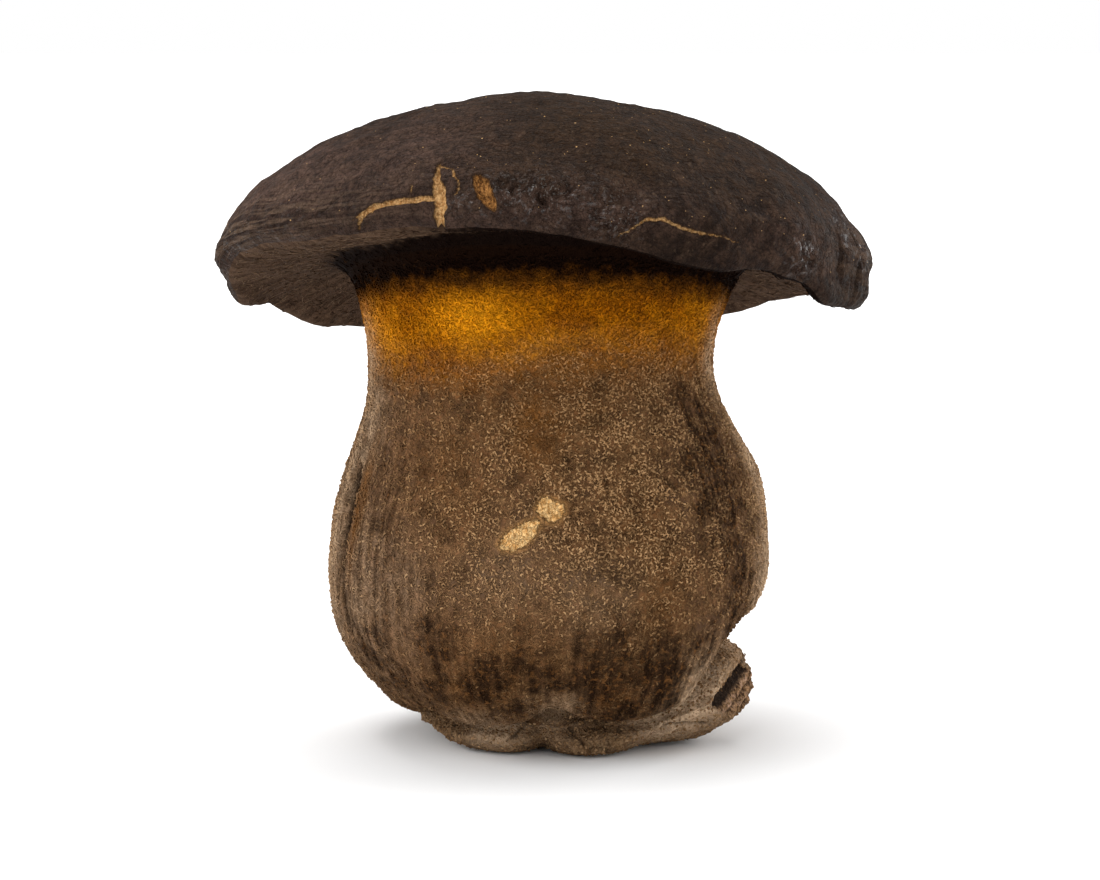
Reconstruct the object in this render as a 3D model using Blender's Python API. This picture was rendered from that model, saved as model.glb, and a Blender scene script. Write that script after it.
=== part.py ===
"""A black bolete, a mushroom that grew as one body.

It has a bulbous stem, a cap that leans back with a rolled, wavy margin and, low on the
right, the stub that it was cut from. Its skin is a stack of closed rings: from the sole,
up the stem, out along the underside of the cap, round the margin and over the top. Low
relief is added along the skin's normal, and the cracks, scars and hollow are cut into it.

Lengths are in millimetres until the mesh is made, which is in metres. Azimuth 0 is +X,
the right, 90 is +Y, the back, 180 the left and 270 the front. A set of four values gives
the right, the back, the left and the front, in that order.
"""

import math
from functools import partial
from itertools import zip_longest

import bmesh
import bpy
import numpy as np
from mathutils import Matrix, Vector, noise
from mathutils.bvhtree import BVHTree

MM = 0.001

# The cap's own frame is tilted back; heights in it start at the margin's widest line.
CAP_CENTRE = (-1.0, 0.0, 72.9)
CAP_TILT = math.radians(12.3)
CAP_REACH = (49.8, 47.0, 49.2, 46.0)
DOME_HEIGHT = 24.2
DOME_FULLNESS = 2.15
DOME_SHOULDER = 1.6
DOME_SHARES = (0.985, 0.94, 0.86, 0.74, 0.58, 0.40, 0.20)

# The margin's lift over its tilted plane, going round it: azimuth, lift.
MARGIN_LIFTS = (
    (0, -1.4), (15, 0.5), (32, 1.7), (50, 0.5), (70, 1.0), (95, 0.2), (120, -1.5),
    (138, -1.9), (160, -0.5), (172, -1.0), (182, 0.6), (192, 2.4), (205, 3.5), (225, 2.7),
    (248, 2.9), (268, 2.0), (285, -0.3), (303, -2.5), (320, -2.3), (332, -4.5), (345, -4.3),
)
DOME_LIFTED = 0.4

# A broad shallow hollow on the dome's right: azimuth, width in degrees, depth.
DOME_HOLLOW = ((0.0, 60.0, 1.1),)

# Swells of the rolled margin: azimuth, width in degrees, size (below 0, a dent).
MARGIN_SWELLS = (
    (187.0, 16.0, 1.2), (176.0, 4.0, -0.9), (334.0, 5.0, -1.0), (352.0, 5.0, -0.9), (75.0, 7.0, -0.9),
    (128.0, 6.0, -0.8),
)

# From the flare out to the margin's lower edge: share of the reach, height, share of the lift.
UNDERSIDE = (
    (0.585, -3.2, 0.0), (0.65, -0.4, 0.05), (0.76, -1.2, 0.2), (0.89, -3.3, 0.65), (0.955, -4.2, 1.0),
)

# Rings of the stem from the top of the crease upwards: reach on four sides, height on four.
STEM_RINGS = (
    ((28.5, 26.0, 25.5, 27.0), (9.5, 7.8, 7.5, 8.4)),
    ((31.0, 30.5, 30.8, 31.5), (15.0, 14.0, 13.2, 13.7)),
    ((33.0, 33.0, 33.6, 34.0), (23.0, 22.0, 20.5, 21.0)),
    ((33.2, 32.6, 33.5, 34.0), (31.5, 31.0, 30.0, 30.0)),
    ((31.6, 30.6, 31.4, 32.0), (40.5, 40.0, 39.5, 40.0)),
    ((28.2, 28.0, 29.0, 29.3), (47.5, 47.0, 47.5, 49.0)),
    ((24.3, 25.4, 27.6, 26.4), (56.5, 54.0, 57.5, 60.0)),
)

# Folds of the lower bulb: azimuth, width in degrees, swell (below 0, a valley).
BULB_FOLDS = (
    (248.0, 15.0, 0.8), (271.0, 7.0, -1.2), (298.0, 15.0, 0.9), (224.0, 6.0, -0.7), (120.0, 10.0, -0.9),
)
BULB_START = 5.0
BULB_FOLDS_HEIGHT = 9.0
BULB_FOLDS_SPREAD = 9.0

# The furrow on the left, from its top down: height, azimuth, depth.
FURROW = (
    (44.0, 199.0, 0.0), (40.5, 201.0, 2.0), (34.0, 202.0, 2.2), (29.0, 202.0, 1.1), (21.0, 207.0, 0.7),
    (11.0, 209.0, 0.0),
)
FURROW_WIDTH = 1.5

# The foot's rings from the sole's edge to the crease: reach and height on four sides, then
# how much it follows the lobes, how far the grooves raise it, and how far the stub and the
# bulb's overhang over the stub pull it out and up.
SOLE_REACH = 8.0
FOOT_RINGS = (
    dict(reach=(15.0, 15.0, 13.5, 15.5), height=(0.0,) * 4, lobed=1.0, grooved=0.5, stub=(8.5, 0.9)),
    dict(reach=(20.6, 19.0, 18.0, 19.0), height=(1.5,) * 4, lobed=1.0, grooved=0.6, stub=(10.0, 3.6)),
    dict(reach=(22.6, 20.6, 19.6, 20.2), height=(3.7, 2.5, 2.4, 3.0), lobed=0.5, stub=(11.5, 6.0)),
    dict(reach=(21.5, 19.5, 18.5, 19.1), height=(4.9, 3.8, 3.5, 4.3), stub=(8.6, 0.0), over=(0.0, 9.4)),
    dict(reach=(22.4, 20.2, 19.6, 20.3), height=(5.4, 4.3, 4.0, 4.8), over=(4.2, 11.6)),
)
FOOT_LOBES = ((237.0, 24.0, 1.8), (290.0, 20.0, 2.4), (60.0, 26.0, 1.6), (140.0, 28.0, 1.4))
FOOT_GROOVES = (
    (266.0, 9.0, 1.7), (325.0, 9.0, 1.0), (20.0, 12.0, 1.4), (100.0, 10.0, 1.6), (195.0, 12.0, 1.2),
)
STUB_AZIMUTH = -23.0
STUB_WIDTH = 18.5
STUB_CUT_AZIMUTH = math.radians(-30.0)
STUB_CUT_DISTANCE = 29.7

# Over the stub the lowest rings of the bulb are lifted, and beside it they are tucked in.
OVERHANG_AZIMUTH = -13.0
OVERHANG_WIDTH = 24.0
TUCK_AZIMUTH = 24.0
TUCK_WIDTH = 28.0
BULB_LIFTS_AND_TUCKS = ((9.6, 3.8), (5.0, 2.4), (1.4, 0.6))

# Columns of the skin: even round the body, with more at the furrow.
EVEN_COLUMNS = 80
FURROW_COLUMNS = tuple(math.radians(degrees) for degrees in (196.5, 200.0, 201.5, 203.5, 205.5, 208.5))
ROWS_PER_SPAN = (1, 1, 1, 2, 2, 1, 2, 2, 3, 3, 3, 3, 3, 3, 2, 2, 2, 2, 2, 2, 2, 2, 2, 3, 3, 3, 3)

# Cracks of the cap and scars of the stem, as spots along each: azimuth, height, half the
# width. The cap's are in its own frame. The last value is the depth over half the width.
CAP_CRACKS = {
    "left_crack": (
        ((250.6, 2.75, 0.45), (246.9, 2.6, 0.5), (242.5, 2.3, 0.45), (239.1, 1.7, 0.5),
         (236.3, 0.6, 0.5), (235.0, -0.9, 0.3)), 1.0,
    ),
    "upright_crack": (
        ((250.1, 7.6, 0.3), (250.4, 5.4, 0.6), (251.8, 3.0, 1.0), (252.0, 1.0, 0.9),
         (251.2, -0.9, 0.5)), 1.0,
    ),
    "right_crack": (
        ((283.6, -2.9, 0.3), (288.5, -0.4, 0.45), (291.5, -0.4, 0.45), (294.5, -1.5, 0.45),
         (298.9, -2.1, 0.4), (306.5, -2.7, 0.3)), 1.0,
    ),
    "pit": (((258.4, 5.2, 0.5), (259.6, 3.6, 1.2), (260.6, 2.0, 1.2), (261.5, 0.8, 0.6)), 0.9),
}
STEM_SCARS = {
    "upper_scar": (((268.2, 39.4, 0.9), (270.4, 39.0, 1.4), (272.6, 39.3, 0.9)), 0.45),
    "lower_scar": (((259.0, 34.3, 0.9), (262.4, 35.0, 1.3), (265.6, 35.9, 0.8)), 0.45),
}
STEPS_PER_SPOT = 2
GROOVE_SIDES = 6
OUTSIDE = 100.0

# The hollow in the stub's cut end: half its depth, width and height, then the height of its
# middle and how far it lies behind the stub's middle.
STUB_HOLLOW = (1.6, 4.2, 3.6)
STUB_HOLLOW_HEIGHT = 8.4
STUB_HOLLOW_ASIDE = 1.5

# The skin's finishes from the sole upwards: name, the span each ends at, colour, roughness.
REGIONS = (
    ("pale_granular_foot", 6, (0.270, 0.190, 0.110), 0.9),
    ("brown_felted_stem", 13, (0.155, 0.095, 0.045), 0.85),
    ("golden_neck", 14, (0.390, 0.190, 0.018), 0.8),
    ("dark_pores", 18, (0.045, 0.032, 0.022), 0.8),
    ("black_brown_cap", 27, (0.028, 0.019, 0.014), 0.5),
)
FLESH = ("pale_flesh", (0.520, 0.330, 0.150), 0.8)

# Low lumps all over the skin: their size and how far they stand out.
LUMPS = ((15.0, 0.5), (6.5, 0.22))
LUMPS_START = 4.0

# Edges sharper than this are shaded as edges.
SHARP_ANGLE = math.radians(40)


def four_way(values, azimuth):
    """A smooth curve round the body through a value for each of the four sides."""
    right, back, left, front = values
    return (
        (right + back + left + front) / 4
        + (right - left) / 2 * np.cos(azimuth)
        + (back - front) / 2 * np.sin(azimuth)
        + (right + left - back - front) / 4 * np.cos(2 * azimuth)
    )


def through(pairs, azimuth):
    """A smooth closed curve through pairs of an azimuth in degrees and a value."""
    angles, values = (np.array(column, float) for column in zip(*pairs))
    angles = np.concatenate([angles[-2:] - 360, angles, angles[:2] + 360])
    values = np.concatenate([values[-2:], values, values[:2]])
    slopes = np.gradient(values, angles)
    degrees = np.degrees(azimuth) % 360
    at = np.searchsorted(angles, degrees, side="right") - 1
    gap = angles[at + 1] - angles[at]
    t = (degrees - angles[at]) / gap
    return (
        (2 * t**3 - 3 * t**2 + 1) * values[at] + (t**3 - 2 * t**2 + t) * gap * slopes[at]
        + (3 * t**2 - 2 * t**3) * values[at + 1] + (t**3 - t**2) * gap * slopes[at + 1]
    )


def swell(azimuth, centre, width, flatness=2):
    """1 at the centre azimuth, fading to nothing over about the width, both in degrees."""
    turn = (np.degrees(azimuth) - centre + 180) % 360 - 180
    return np.exp(-(np.abs(turn / width) ** flatness))


def swells(azimuth, humps):
    """The sum of humps, each a centre azimuth, a width and a size."""
    return sum(size * swell(azimuth, centre, width) for centre, width, size in humps)


def ring(azimuth, reach, height):
    """A ring round the stem's axis."""
    return np.stack([reach * np.cos(azimuth), reach * np.sin(azimuth), height + 0 * azimuth], axis=-1)


def from_cap(across, along, lift):
    """A point of the cap's tilted frame, in the body's own frame."""
    sine, cosine = math.sin(CAP_TILT), math.cos(CAP_TILT)
    tilted = [across, along * cosine + lift * sine, lift * cosine - along * sine]
    return np.stack(tilted, axis=-1) + np.array(CAP_CENTRE)


def cap_ring(azimuth, share, height, lifted):
    """A ring of the cap: its share of the reach, its height and its share of the margin's lift."""
    reach = share * four_way(CAP_REACH, azimuth) + swells(azimuth, MARGIN_SWELLS) * share**12
    lift = height + through(MARGIN_LIFTS, azimuth) * lifted
    return from_cap(reach * np.cos(azimuth), reach * np.sin(azimuth), lift)


def overhang(azimuth):
    """1 where the bulb stands highest over the stub, fading to nothing beside it."""
    return swell(azimuth, OVERHANG_AZIMUTH, OVERHANG_WIDTH, flatness=4)


def foot_ring(azimuth, reach, height, lobed=0.0, grooved=0.0, stub=(0.0, 0.0), over=(0.0, 0.0)):
    """A ring of the lobed foot, pulled out and up by the stub and by the overhang above it."""
    grooves = swells(azimuth, FOOT_GROOVES)
    lobes = swells(azimuth, FOOT_LOBES) - grooves
    stubbed = swell(azimuth, STUB_AZIMUTH, STUB_WIDTH, flatness=4)
    outward = lobed * lobes + stub[0] * stubbed + over[0] * overhang(azimuth)
    upward = grooved * grooves + stub[1] * stubbed + over[1] * overhang(azimuth)
    return ring(azimuth, four_way(reach, azimuth) + outward, four_way(height, azimuth) + upward)


def foot_rings(azimuth):
    """The sole, the lobed foot, the stub and the crease where the bulb overhangs them."""
    sole = [ring(azimuth, 0.0, 0.0), ring(azimuth, SOLE_REACH, 0.0)]
    return sole + [foot_ring(azimuth, **shape) for shape in FOOT_RINGS]


def stem_rings(azimuth):
    """The bulb, the shoulder and the neck, from the crease up."""
    tucked = swell(azimuth, TUCK_AZIMUTH, TUCK_WIDTH)
    unchanged = (0.0, 0.0)
    rings = []
    for (reach, height), (lift, tuck) in zip_longest(STEM_RINGS, BULB_LIFTS_AND_TUCKS, fillvalue=unchanged):
        lifted = four_way(height, azimuth) + lift * overhang(azimuth)
        rings.append(ring(azimuth, four_way(reach, azimuth) - tuck * tucked, lifted))
    return rings


def dome_height(share):
    """The dome's height over the margin's widest line, at a share of its reach."""
    return DOME_HEIGHT * (1 - share**DOME_FULLNESS) ** (1 / DOME_SHOULDER)


def cap_rings(azimuth):
    """The underside, from the flare outwards, then the margin and the dome up to its top."""
    rings = [cap_ring(azimuth, *edge) for edge in UNDERSIDE]
    for share in (1.0, *DOME_SHARES, 0.0):
        hollow = swells(azimuth, DOME_HOLLOW) * 4 * share * (1 - share)
        rings.append(cap_ring(azimuth, share, dome_height(share) - hollow, DOME_LIFTED * share**8))
    return rings


def smooth_skin(rings):
    """Points of a smooth skin through the rings, as an array of rows, columns and x, y, z."""
    below = 2 * rings[:1] - rings[1:2]
    above = 2 * rings[-1:] - rings[-2:-1]
    knots = np.concatenate([below, rings, above])
    rows = []
    for span, count in enumerate(ROWS_PER_SPAN):
        before, start, end, after = knots[span : span + 4]
        gaps = [np.sqrt(np.linalg.norm(b - a, axis=-1, keepdims=True)) + 1e-6
                for a, b in ((before, start), (start, end), (end, after))]
        run = end - start
        leaving = run + gaps[1] * ((start - before) / gaps[0] - (end - before) / (gaps[0] + gaps[1]))
        arriving = run + gaps[1] * ((after - end) / gaps[2] - (after - start) / (gaps[1] + gaps[2]))
        for step in range(count):
            t = step / count
            rows.append(
                (2 * t**3 - 3 * t**2 + 1) * start + (t**3 - 2 * t**2 + t) * leaving
                + (3 * t**2 - 2 * t**3) * end + (t**3 - t**2) * arriving
            )
    rows.append(rings[-1])
    return np.array(rows)


def normals_of(points):
    """The outward direction at every point of the skin."""
    up = np.gradient(points, axis=0)
    wrapped = np.concatenate([points[:, -1:], points, points[:, :1]], axis=1)
    round_body = (wrapped[:, 2:] - wrapped[:, :-2]) / 2
    outward = np.cross(round_body, up)
    length = np.linalg.norm(outward, axis=-1, keepdims=True)
    return outward / np.maximum(length, 1e-9)


def relief(points):
    """How far the skin stands out of its smooth shape: lumps, folds of the bulb and the furrow."""
    height = points[..., 2]
    azimuth = np.arctan2(points[..., 1], points[..., 0])
    lumps = np.array([[sum(size * noise.noise(Vector(point) / width) for width, size in LUMPS)
                       for point in row] for row in points])
    lumps *= np.clip(height / LUMPS_START, 0, 1)

    folds = swells(azimuth, BULB_FOLDS)
    folds *= np.exp(-(((height - BULB_FOLDS_HEIGHT) / BULB_FOLDS_SPREAD) ** 2))
    folds *= np.clip((height - BULB_START) / LUMPS_START, 0, 1)

    heights, azimuths, depths = (np.array(column) for column in zip(*FURROW[::-1]))
    turn = azimuth - np.radians(np.interp(height, heights, azimuths))
    aside = np.linalg.norm(points[..., :2], axis=-1) * np.sin(turn)
    furrow = np.exp(-((aside / FURROW_WIDTH) ** 2)) * (np.cos(turn) > 0)
    return lumps + folds - furrow * np.interp(height, heights, depths)


def cut_stub(points):
    """The skin with what reaches past the stub's cut plane pressed flat onto it."""
    foot_rows = sum(ROWS_PER_SPAN[:6])
    outward = np.array([math.cos(STUB_CUT_AZIMUTH), math.sin(STUB_CUT_AZIMUTH), 0.0])
    past = np.maximum(points[:foot_rows] @ outward - STUB_CUT_DISTANCE, 0)
    points[:foot_rows] -= past[..., None] * outward
    return points


def material(name, colour, roughness):
    """A plain non-metallic finish."""
    finish = bpy.data.materials.new(name)
    finish.use_nodes = True
    shader = finish.node_tree.nodes["Principled BSDF"]
    shader.inputs["Base Color"].default_value = (*colour, 1.0)
    shader.inputs["Roughness"].default_value = roughness
    shader.inputs["Metallic"].default_value = 0.0
    finish.diffuse_color = (*colour, 1.0)
    return finish


def body_mesh(name):
    """The closed skin as a mesh, with one point at the sole's middle and one at the top."""
    even = np.linspace(0, 2 * math.pi, EVEN_COLUMNS, endpoint=False)
    azimuth = np.unique(np.concatenate([even, FURROW_COLUMNS]))
    rings = np.array(foot_rings(azimuth) + stem_rings(azimuth) + cap_rings(azimuth))
    points = smooth_skin(rings)
    points = cut_stub(points + relief(points)[..., None] * normals_of(points))

    build = bmesh.new()
    bottom = build.verts.new(points[0, 0] * MM)
    top = build.verts.new(points[-1, 0] * MM)
    grid = [[build.verts.new(point * MM) for point in row] for row in points[1:-1]]
    region_ends = np.cumsum(ROWS_PER_SPAN)[[spans - 1 for _, spans, _, _ in REGIONS]]
    for column in range(len(azimuth)):
        following = (column + 1) % len(azimuth)
        build.faces.new((bottom, grid[0][following], grid[0][column]))
        for row, (lower, upper) in enumerate(zip(grid, grid[1:])):
            face = build.faces.new((lower[column], lower[following], upper[following], upper[column]))
            face.material_index = int(np.searchsorted(region_ends, row + 1, side="right"))
        face = build.faces.new((top, grid[-1][column], grid[-1][following]))
        face.material_index = len(REGIONS) - 1
    mesh = bpy.data.meshes.new(name)
    build.to_mesh(mesh)
    build.free()
    for region, _, colour, roughness in REGIONS:
        mesh.materials.append(material(region, colour, roughness))
    return mesh


def skin_finder(body):
    """A function that gives the point and the outward direction of the skin, met from outside."""
    vertices = [vertex.co for vertex in body.data.vertices]
    tree = BVHTree.FromPolygons(vertices, [face.vertices for face in body.data.polygons])

    def find(start, towards):
        start, towards = Vector(start) * MM, Vector(towards) * MM
        spot, normal, _, _ = tree.ray_cast(start, towards - start)
        return np.array(spot), np.array(normal)

    return find


def cap_spot(find, azimuth, height):
    """A spot on the cap's side, at an azimuth and a height in the cap's own frame."""
    azimuth = math.radians(azimuth)
    start = from_cap(OUTSIDE * math.cos(azimuth), OUTSIDE * math.sin(azimuth), height)
    return find(start, from_cap(0.0, 0.0, height))


def stem_spot(find, azimuth, height):
    """A spot on the stem's side, at an azimuth and a height over the sole."""
    azimuth = math.radians(azimuth)
    start = (OUTSIDE * math.cos(azimuth), OUTSIDE * math.sin(azimuth), height)
    return find(start, (0.0, 0.0, height))


def groove_cutter(name, find_spot, spots, flatness):
    """A closed spindle laid along the skin, which cuts a groove that tapers to both ends."""
    steps = np.linspace(0, len(spots) - 1, (len(spots) - 1) * STEPS_PER_SPOT + 1)
    azimuths, heights, halves = (np.interp(steps, range(len(spots)), column) for column in zip(*spots))
    found = [find_spot(azimuth, height) for azimuth, height in zip(azimuths, heights)]
    middles, outwards = (np.array(column) for column in zip(*found))
    alongs = np.gradient(middles, axis=0)
    alongs /= np.linalg.norm(alongs, axis=1, keepdims=True)
    asides = np.cross(alongs, outwards)
    halves = halves[:, None] * MM

    build = bmesh.new()
    turns = [2 * math.pi * side / GROOVE_SIDES for side in range(GROOVE_SIDES)]
    rows = []
    for middle, outward, aside, half in zip(middles, outwards, asides, halves):
        rims = [math.cos(turn) * aside + flatness * math.sin(turn) * outward for turn in turns]
        rows.append([build.verts.new(middle + half * rim) for rim in rims])
    for row, middle, along, half in ((rows[0], middles[0], -alongs[0], halves[0]),
                                     (rows[-1], middles[-1], alongs[-1], halves[-1])):
        tip = build.verts.new(middle + 2 * half * along)
        for side in range(GROOVE_SIDES):
            build.faces.new((tip, row[side - 1], row[side]))
    for lower, upper in zip(rows, rows[1:]):
        for side in range(GROOVE_SIDES):
            build.faces.new((lower[side - 1], lower[side], upper[side], upper[side - 1]))
    return cutter(name, build)


def stub_hollow_cutter(name):
    """A flattened ball that hollows the stub's cut end."""
    build = bmesh.new()
    bmesh.ops.create_icosphere(build, subdivisions=2, radius=MM)
    bmesh.ops.scale(build, vec=STUB_HOLLOW, verts=build.verts)
    bmesh.ops.rotate(build, matrix=Matrix.Rotation(STUB_CUT_AZIMUTH, 3, "Z"), verts=build.verts)
    sine, cosine = math.sin(STUB_CUT_AZIMUTH), math.cos(STUB_CUT_AZIMUTH)
    across = STUB_CUT_DISTANCE * cosine - STUB_HOLLOW_ASIDE * sine
    along = STUB_CUT_DISTANCE * sine + STUB_HOLLOW_ASIDE * cosine
    bmesh.ops.translate(build, vec=Vector((across, along, STUB_HOLLOW_HEIGHT)) * MM, verts=build.verts)
    return cutter(name, build)


def cutter(name, build):
    """A hidden closed shape that only cuts, and lines its cut with flesh."""
    bmesh.ops.recalc_face_normals(build, faces=build.faces)
    mesh = bpy.data.meshes.new(name)
    build.to_mesh(mesh)
    build.free()
    mesh.materials.append(bpy.data.materials.get(FLESH[0]) or material(*FLESH))
    shape = bpy.data.objects.new(name, mesh)
    shape.hide_render = True
    shape.display_type = "WIRE"
    bpy.context.scene.collection.objects.link(shape)
    return shape


def cut_away(body, shapes):
    """Takes the cutters' shapes out of the body and removes the cutters."""
    for shape in shapes:
        cut = body.modifiers.new(shape.name, "BOOLEAN")
        cut.operation = "DIFFERENCE"
        cut.solver = "EXACT"
        cut.material_mode = "TRANSFER"
        cut.object = shape
    evaluated = body.evaluated_get(bpy.context.evaluated_depsgraph_get())
    body.data = bpy.data.meshes.new_from_object(evaluated)
    body.modifiers.clear()
    for shape in shapes:
        bpy.data.objects.remove(shape)
    body.data.shade_smooth()
    body.data.set_sharp_from_angle(angle=SHARP_ANGLE)


def clear_scene():
    """Removes whatever the scene starts with."""
    for thing in list(bpy.data.objects):
        bpy.data.objects.remove(thing)


def main():
    clear_scene()
    body = bpy.data.objects.new("black_bolete", body_mesh("black_bolete"))
    bpy.context.scene.collection.objects.link(body)

    find = skin_finder(body)
    cutters = []
    for spot_finder, grooves in ((cap_spot, CAP_CRACKS), (stem_spot, STEM_SCARS)):
        for name, (spots, flatness) in grooves.items():
            cutters.append(groove_cutter(name, partial(spot_finder, find), spots, flatness))
    cutters.append(stub_hollow_cutter("stub_hollow"))
    cut_away(body, cutters)


main()
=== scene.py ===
"""A black bolete on a plain studio floor: its leathery cap, its felted stem and its torn flesh.

Lengths are in millimetres until a mesh is made, which is in metres. Azimuth 0 is +X, the
right, 90 is +Y, the back, 180 the left and 270 the front. A set of four values gives the
right, the back, the left and the front, in that order. Colours are linear.
"""

import math
from itertools import zip_longest

import bmesh
import bpy
import numpy as np
from bpy.props import FloatProperty, FloatVectorProperty, PointerProperty
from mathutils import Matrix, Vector, noise
from mathutils.bvhtree import BVHTree


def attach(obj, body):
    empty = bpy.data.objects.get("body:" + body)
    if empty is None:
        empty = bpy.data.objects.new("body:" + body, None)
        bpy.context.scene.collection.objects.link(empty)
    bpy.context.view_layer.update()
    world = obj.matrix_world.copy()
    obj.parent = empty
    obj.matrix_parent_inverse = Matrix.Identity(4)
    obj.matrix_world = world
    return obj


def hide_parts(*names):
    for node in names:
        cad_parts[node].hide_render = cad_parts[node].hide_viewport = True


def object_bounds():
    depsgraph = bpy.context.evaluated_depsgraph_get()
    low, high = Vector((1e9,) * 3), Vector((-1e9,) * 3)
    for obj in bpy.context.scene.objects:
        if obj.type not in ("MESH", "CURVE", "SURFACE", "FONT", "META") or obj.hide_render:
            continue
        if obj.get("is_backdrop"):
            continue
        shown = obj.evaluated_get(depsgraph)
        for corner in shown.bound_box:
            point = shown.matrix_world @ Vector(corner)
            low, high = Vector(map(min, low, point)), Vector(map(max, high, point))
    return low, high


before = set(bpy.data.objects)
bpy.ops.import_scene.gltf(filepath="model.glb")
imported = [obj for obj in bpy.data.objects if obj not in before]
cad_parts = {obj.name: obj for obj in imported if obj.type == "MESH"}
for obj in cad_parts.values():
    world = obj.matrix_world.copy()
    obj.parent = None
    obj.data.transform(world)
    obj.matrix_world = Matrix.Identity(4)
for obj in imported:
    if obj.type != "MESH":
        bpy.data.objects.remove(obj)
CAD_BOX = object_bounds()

bl_info = {
    "name": "Black bolete",
    "version": (1, 0, 0),
    "blender": (4, 5, 0),
    "location": "View3D > Sidebar > Bolete",
    "description": "Makes the skin, the felt and the crumbs of a black bolete, and its studio",
    "category": "Object",
}

MM = 0.001
BODY = "root"
NODE = "black_bolete"
BAKE_MAP = "OFBake"

# The cap's own frame is tilted back; heights in it start at the margin's widest line.
CAP_CENTRE = (-1.0, 0.0, 72.9)
CAP_TILT = math.radians(12.3)
CAP_REACH = (49.8, 47.0, 49.2, 46.0)
DOME_HEIGHT = 24.2
DOME_FULLNESS = 2.15
DOME_SHOULDER = 1.6
DOME_SHARES = (0.985, 0.94, 0.86, 0.74, 0.58, 0.40, 0.20)

# The margin's lift over its tilted plane, going round it: azimuth, lift.
MARGIN_LIFTS = (
    (0, -1.4), (15, 0.5), (32, 1.7), (50, 0.5), (70, 1.0), (95, 0.2), (120, -1.5),
    (138, -1.9), (160, -0.5), (172, -1.0), (182, 0.6), (192, 2.4), (205, 3.5), (225, 2.7),
    (248, 2.9), (268, 2.0), (285, -0.3), (303, -2.5), (320, -2.3), (332, -4.5), (345, -4.3),
)
DOME_LIFTED = 0.4

# A broad shallow hollow on the dome's right: azimuth, width in degrees, depth.
DOME_HOLLOW = ((0.0, 60.0, 1.1),)

# Swells of the rolled margin: azimuth, width in degrees, size (below 0, a dent).
MARGIN_SWELLS = (
    (187.0, 16.0, 1.2), (176.0, 4.0, -0.9), (334.0, 5.0, -1.0), (352.0, 5.0, -0.9), (75.0, 7.0, -0.9),
    (128.0, 6.0, -0.8),
)

# From the flare out to the margin's lower edge: share of the reach, height, share of the lift.
UNDERSIDE = (
    (0.585, -3.2, 0.0), (0.65, -0.4, 0.05), (0.76, -1.2, 0.2), (0.89, -3.3, 0.65), (0.955, -4.2, 1.0),
)

# Rings of the stem from the top of the crease upwards: reach on four sides, height on four.
STEM_RINGS = (
    ((28.5, 26.0, 25.5, 27.0), (9.5, 7.8, 7.5, 8.4)),
    ((31.0, 30.5, 30.8, 31.5), (15.0, 14.0, 13.2, 13.7)),
    ((33.0, 33.0, 33.6, 34.0), (23.0, 22.0, 20.5, 21.0)),
    ((33.2, 32.6, 33.5, 34.0), (31.5, 31.0, 30.0, 30.0)),
    ((31.6, 30.6, 31.4, 32.0), (40.5, 40.0, 39.5, 40.0)),
    ((28.2, 28.0, 29.0, 29.3), (47.5, 47.0, 47.5, 49.0)),
    ((24.3, 25.4, 27.6, 26.4), (56.5, 54.0, 57.5, 60.0)),
)

# Folds of the lower bulb: azimuth, width in degrees, swell (below 0, a valley).
BULB_FOLDS = (
    (248.0, 15.0, 0.8), (271.0, 7.0, -1.2), (298.0, 15.0, 0.9), (224.0, 6.0, -0.7), (120.0, 10.0, -0.9),
)
BULB_START = 5.0
BULB_FOLDS_HEIGHT = 9.0
BULB_FOLDS_SPREAD = 9.0

# The furrow on the left, from its top down: height, azimuth, depth.
FURROW = (
    (44.0, 199.0, 0.0), (40.5, 201.0, 2.0), (34.0, 202.0, 2.2), (29.0, 202.0, 1.1), (21.0, 207.0, 0.7),
    (11.0, 209.0, 0.0),
)
FURROW_WIDTH = 1.5

# The foot's rings from the sole's edge to the crease: reach and height on four sides, then
# how much it follows the lobes, how far the grooves raise it, and how far the stub and the
# bulb's overhang over the stub pull it out and up.
SOLE_REACH = 8.0
FOOT_RINGS = (
    dict(reach=(15.0, 15.0, 13.5, 15.5), height=(0.0,) * 4, lobed=1.0, grooved=0.5, stub=(8.5, 0.9)),
    dict(reach=(20.6, 19.0, 18.0, 19.0), height=(1.5,) * 4, lobed=1.0, grooved=0.6, stub=(10.0, 3.6)),
    dict(reach=(22.6, 20.6, 19.6, 20.2), height=(3.7, 2.5, 2.4, 3.0), lobed=0.5, stub=(11.5, 6.0)),
    dict(reach=(21.5, 19.5, 18.5, 19.1), height=(4.9, 3.8, 3.5, 4.3), stub=(8.6, 0.0), over=(0.0, 9.4)),
    dict(reach=(22.4, 20.2, 19.6, 20.3), height=(5.4, 4.3, 4.0, 4.8), over=(4.2, 11.6)),
)
FOOT_LOBES = ((237.0, 24.0, 1.8), (290.0, 20.0, 2.4), (60.0, 26.0, 1.6), (140.0, 28.0, 1.4))
FOOT_GROOVES = (
    (266.0, 9.0, 1.7), (325.0, 9.0, 1.0), (20.0, 12.0, 1.4), (100.0, 10.0, 1.6), (195.0, 12.0, 1.2),
)
STUB_AZIMUTH = -23.0
STUB_WIDTH = 18.5
STUB_CUT_AZIMUTH = math.radians(-30.0)
STUB_CUT_DISTANCE = 29.7

# Over the stub the lowest rings of the bulb are lifted, and beside it they are tucked in.
OVERHANG_AZIMUTH = -13.0
OVERHANG_WIDTH = 24.0
TUCK_AZIMUTH = 24.0
TUCK_WIDTH = 28.0
BULB_LIFTS_AND_TUCKS = ((9.6, 3.8), (5.0, 2.4), (1.4, 0.6))

# Low lumps all over the skin: their size and how far they stand out.
LUMPS = ((15.0, 0.5), (6.5, 0.22))
LUMPS_START = 4.0

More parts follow.
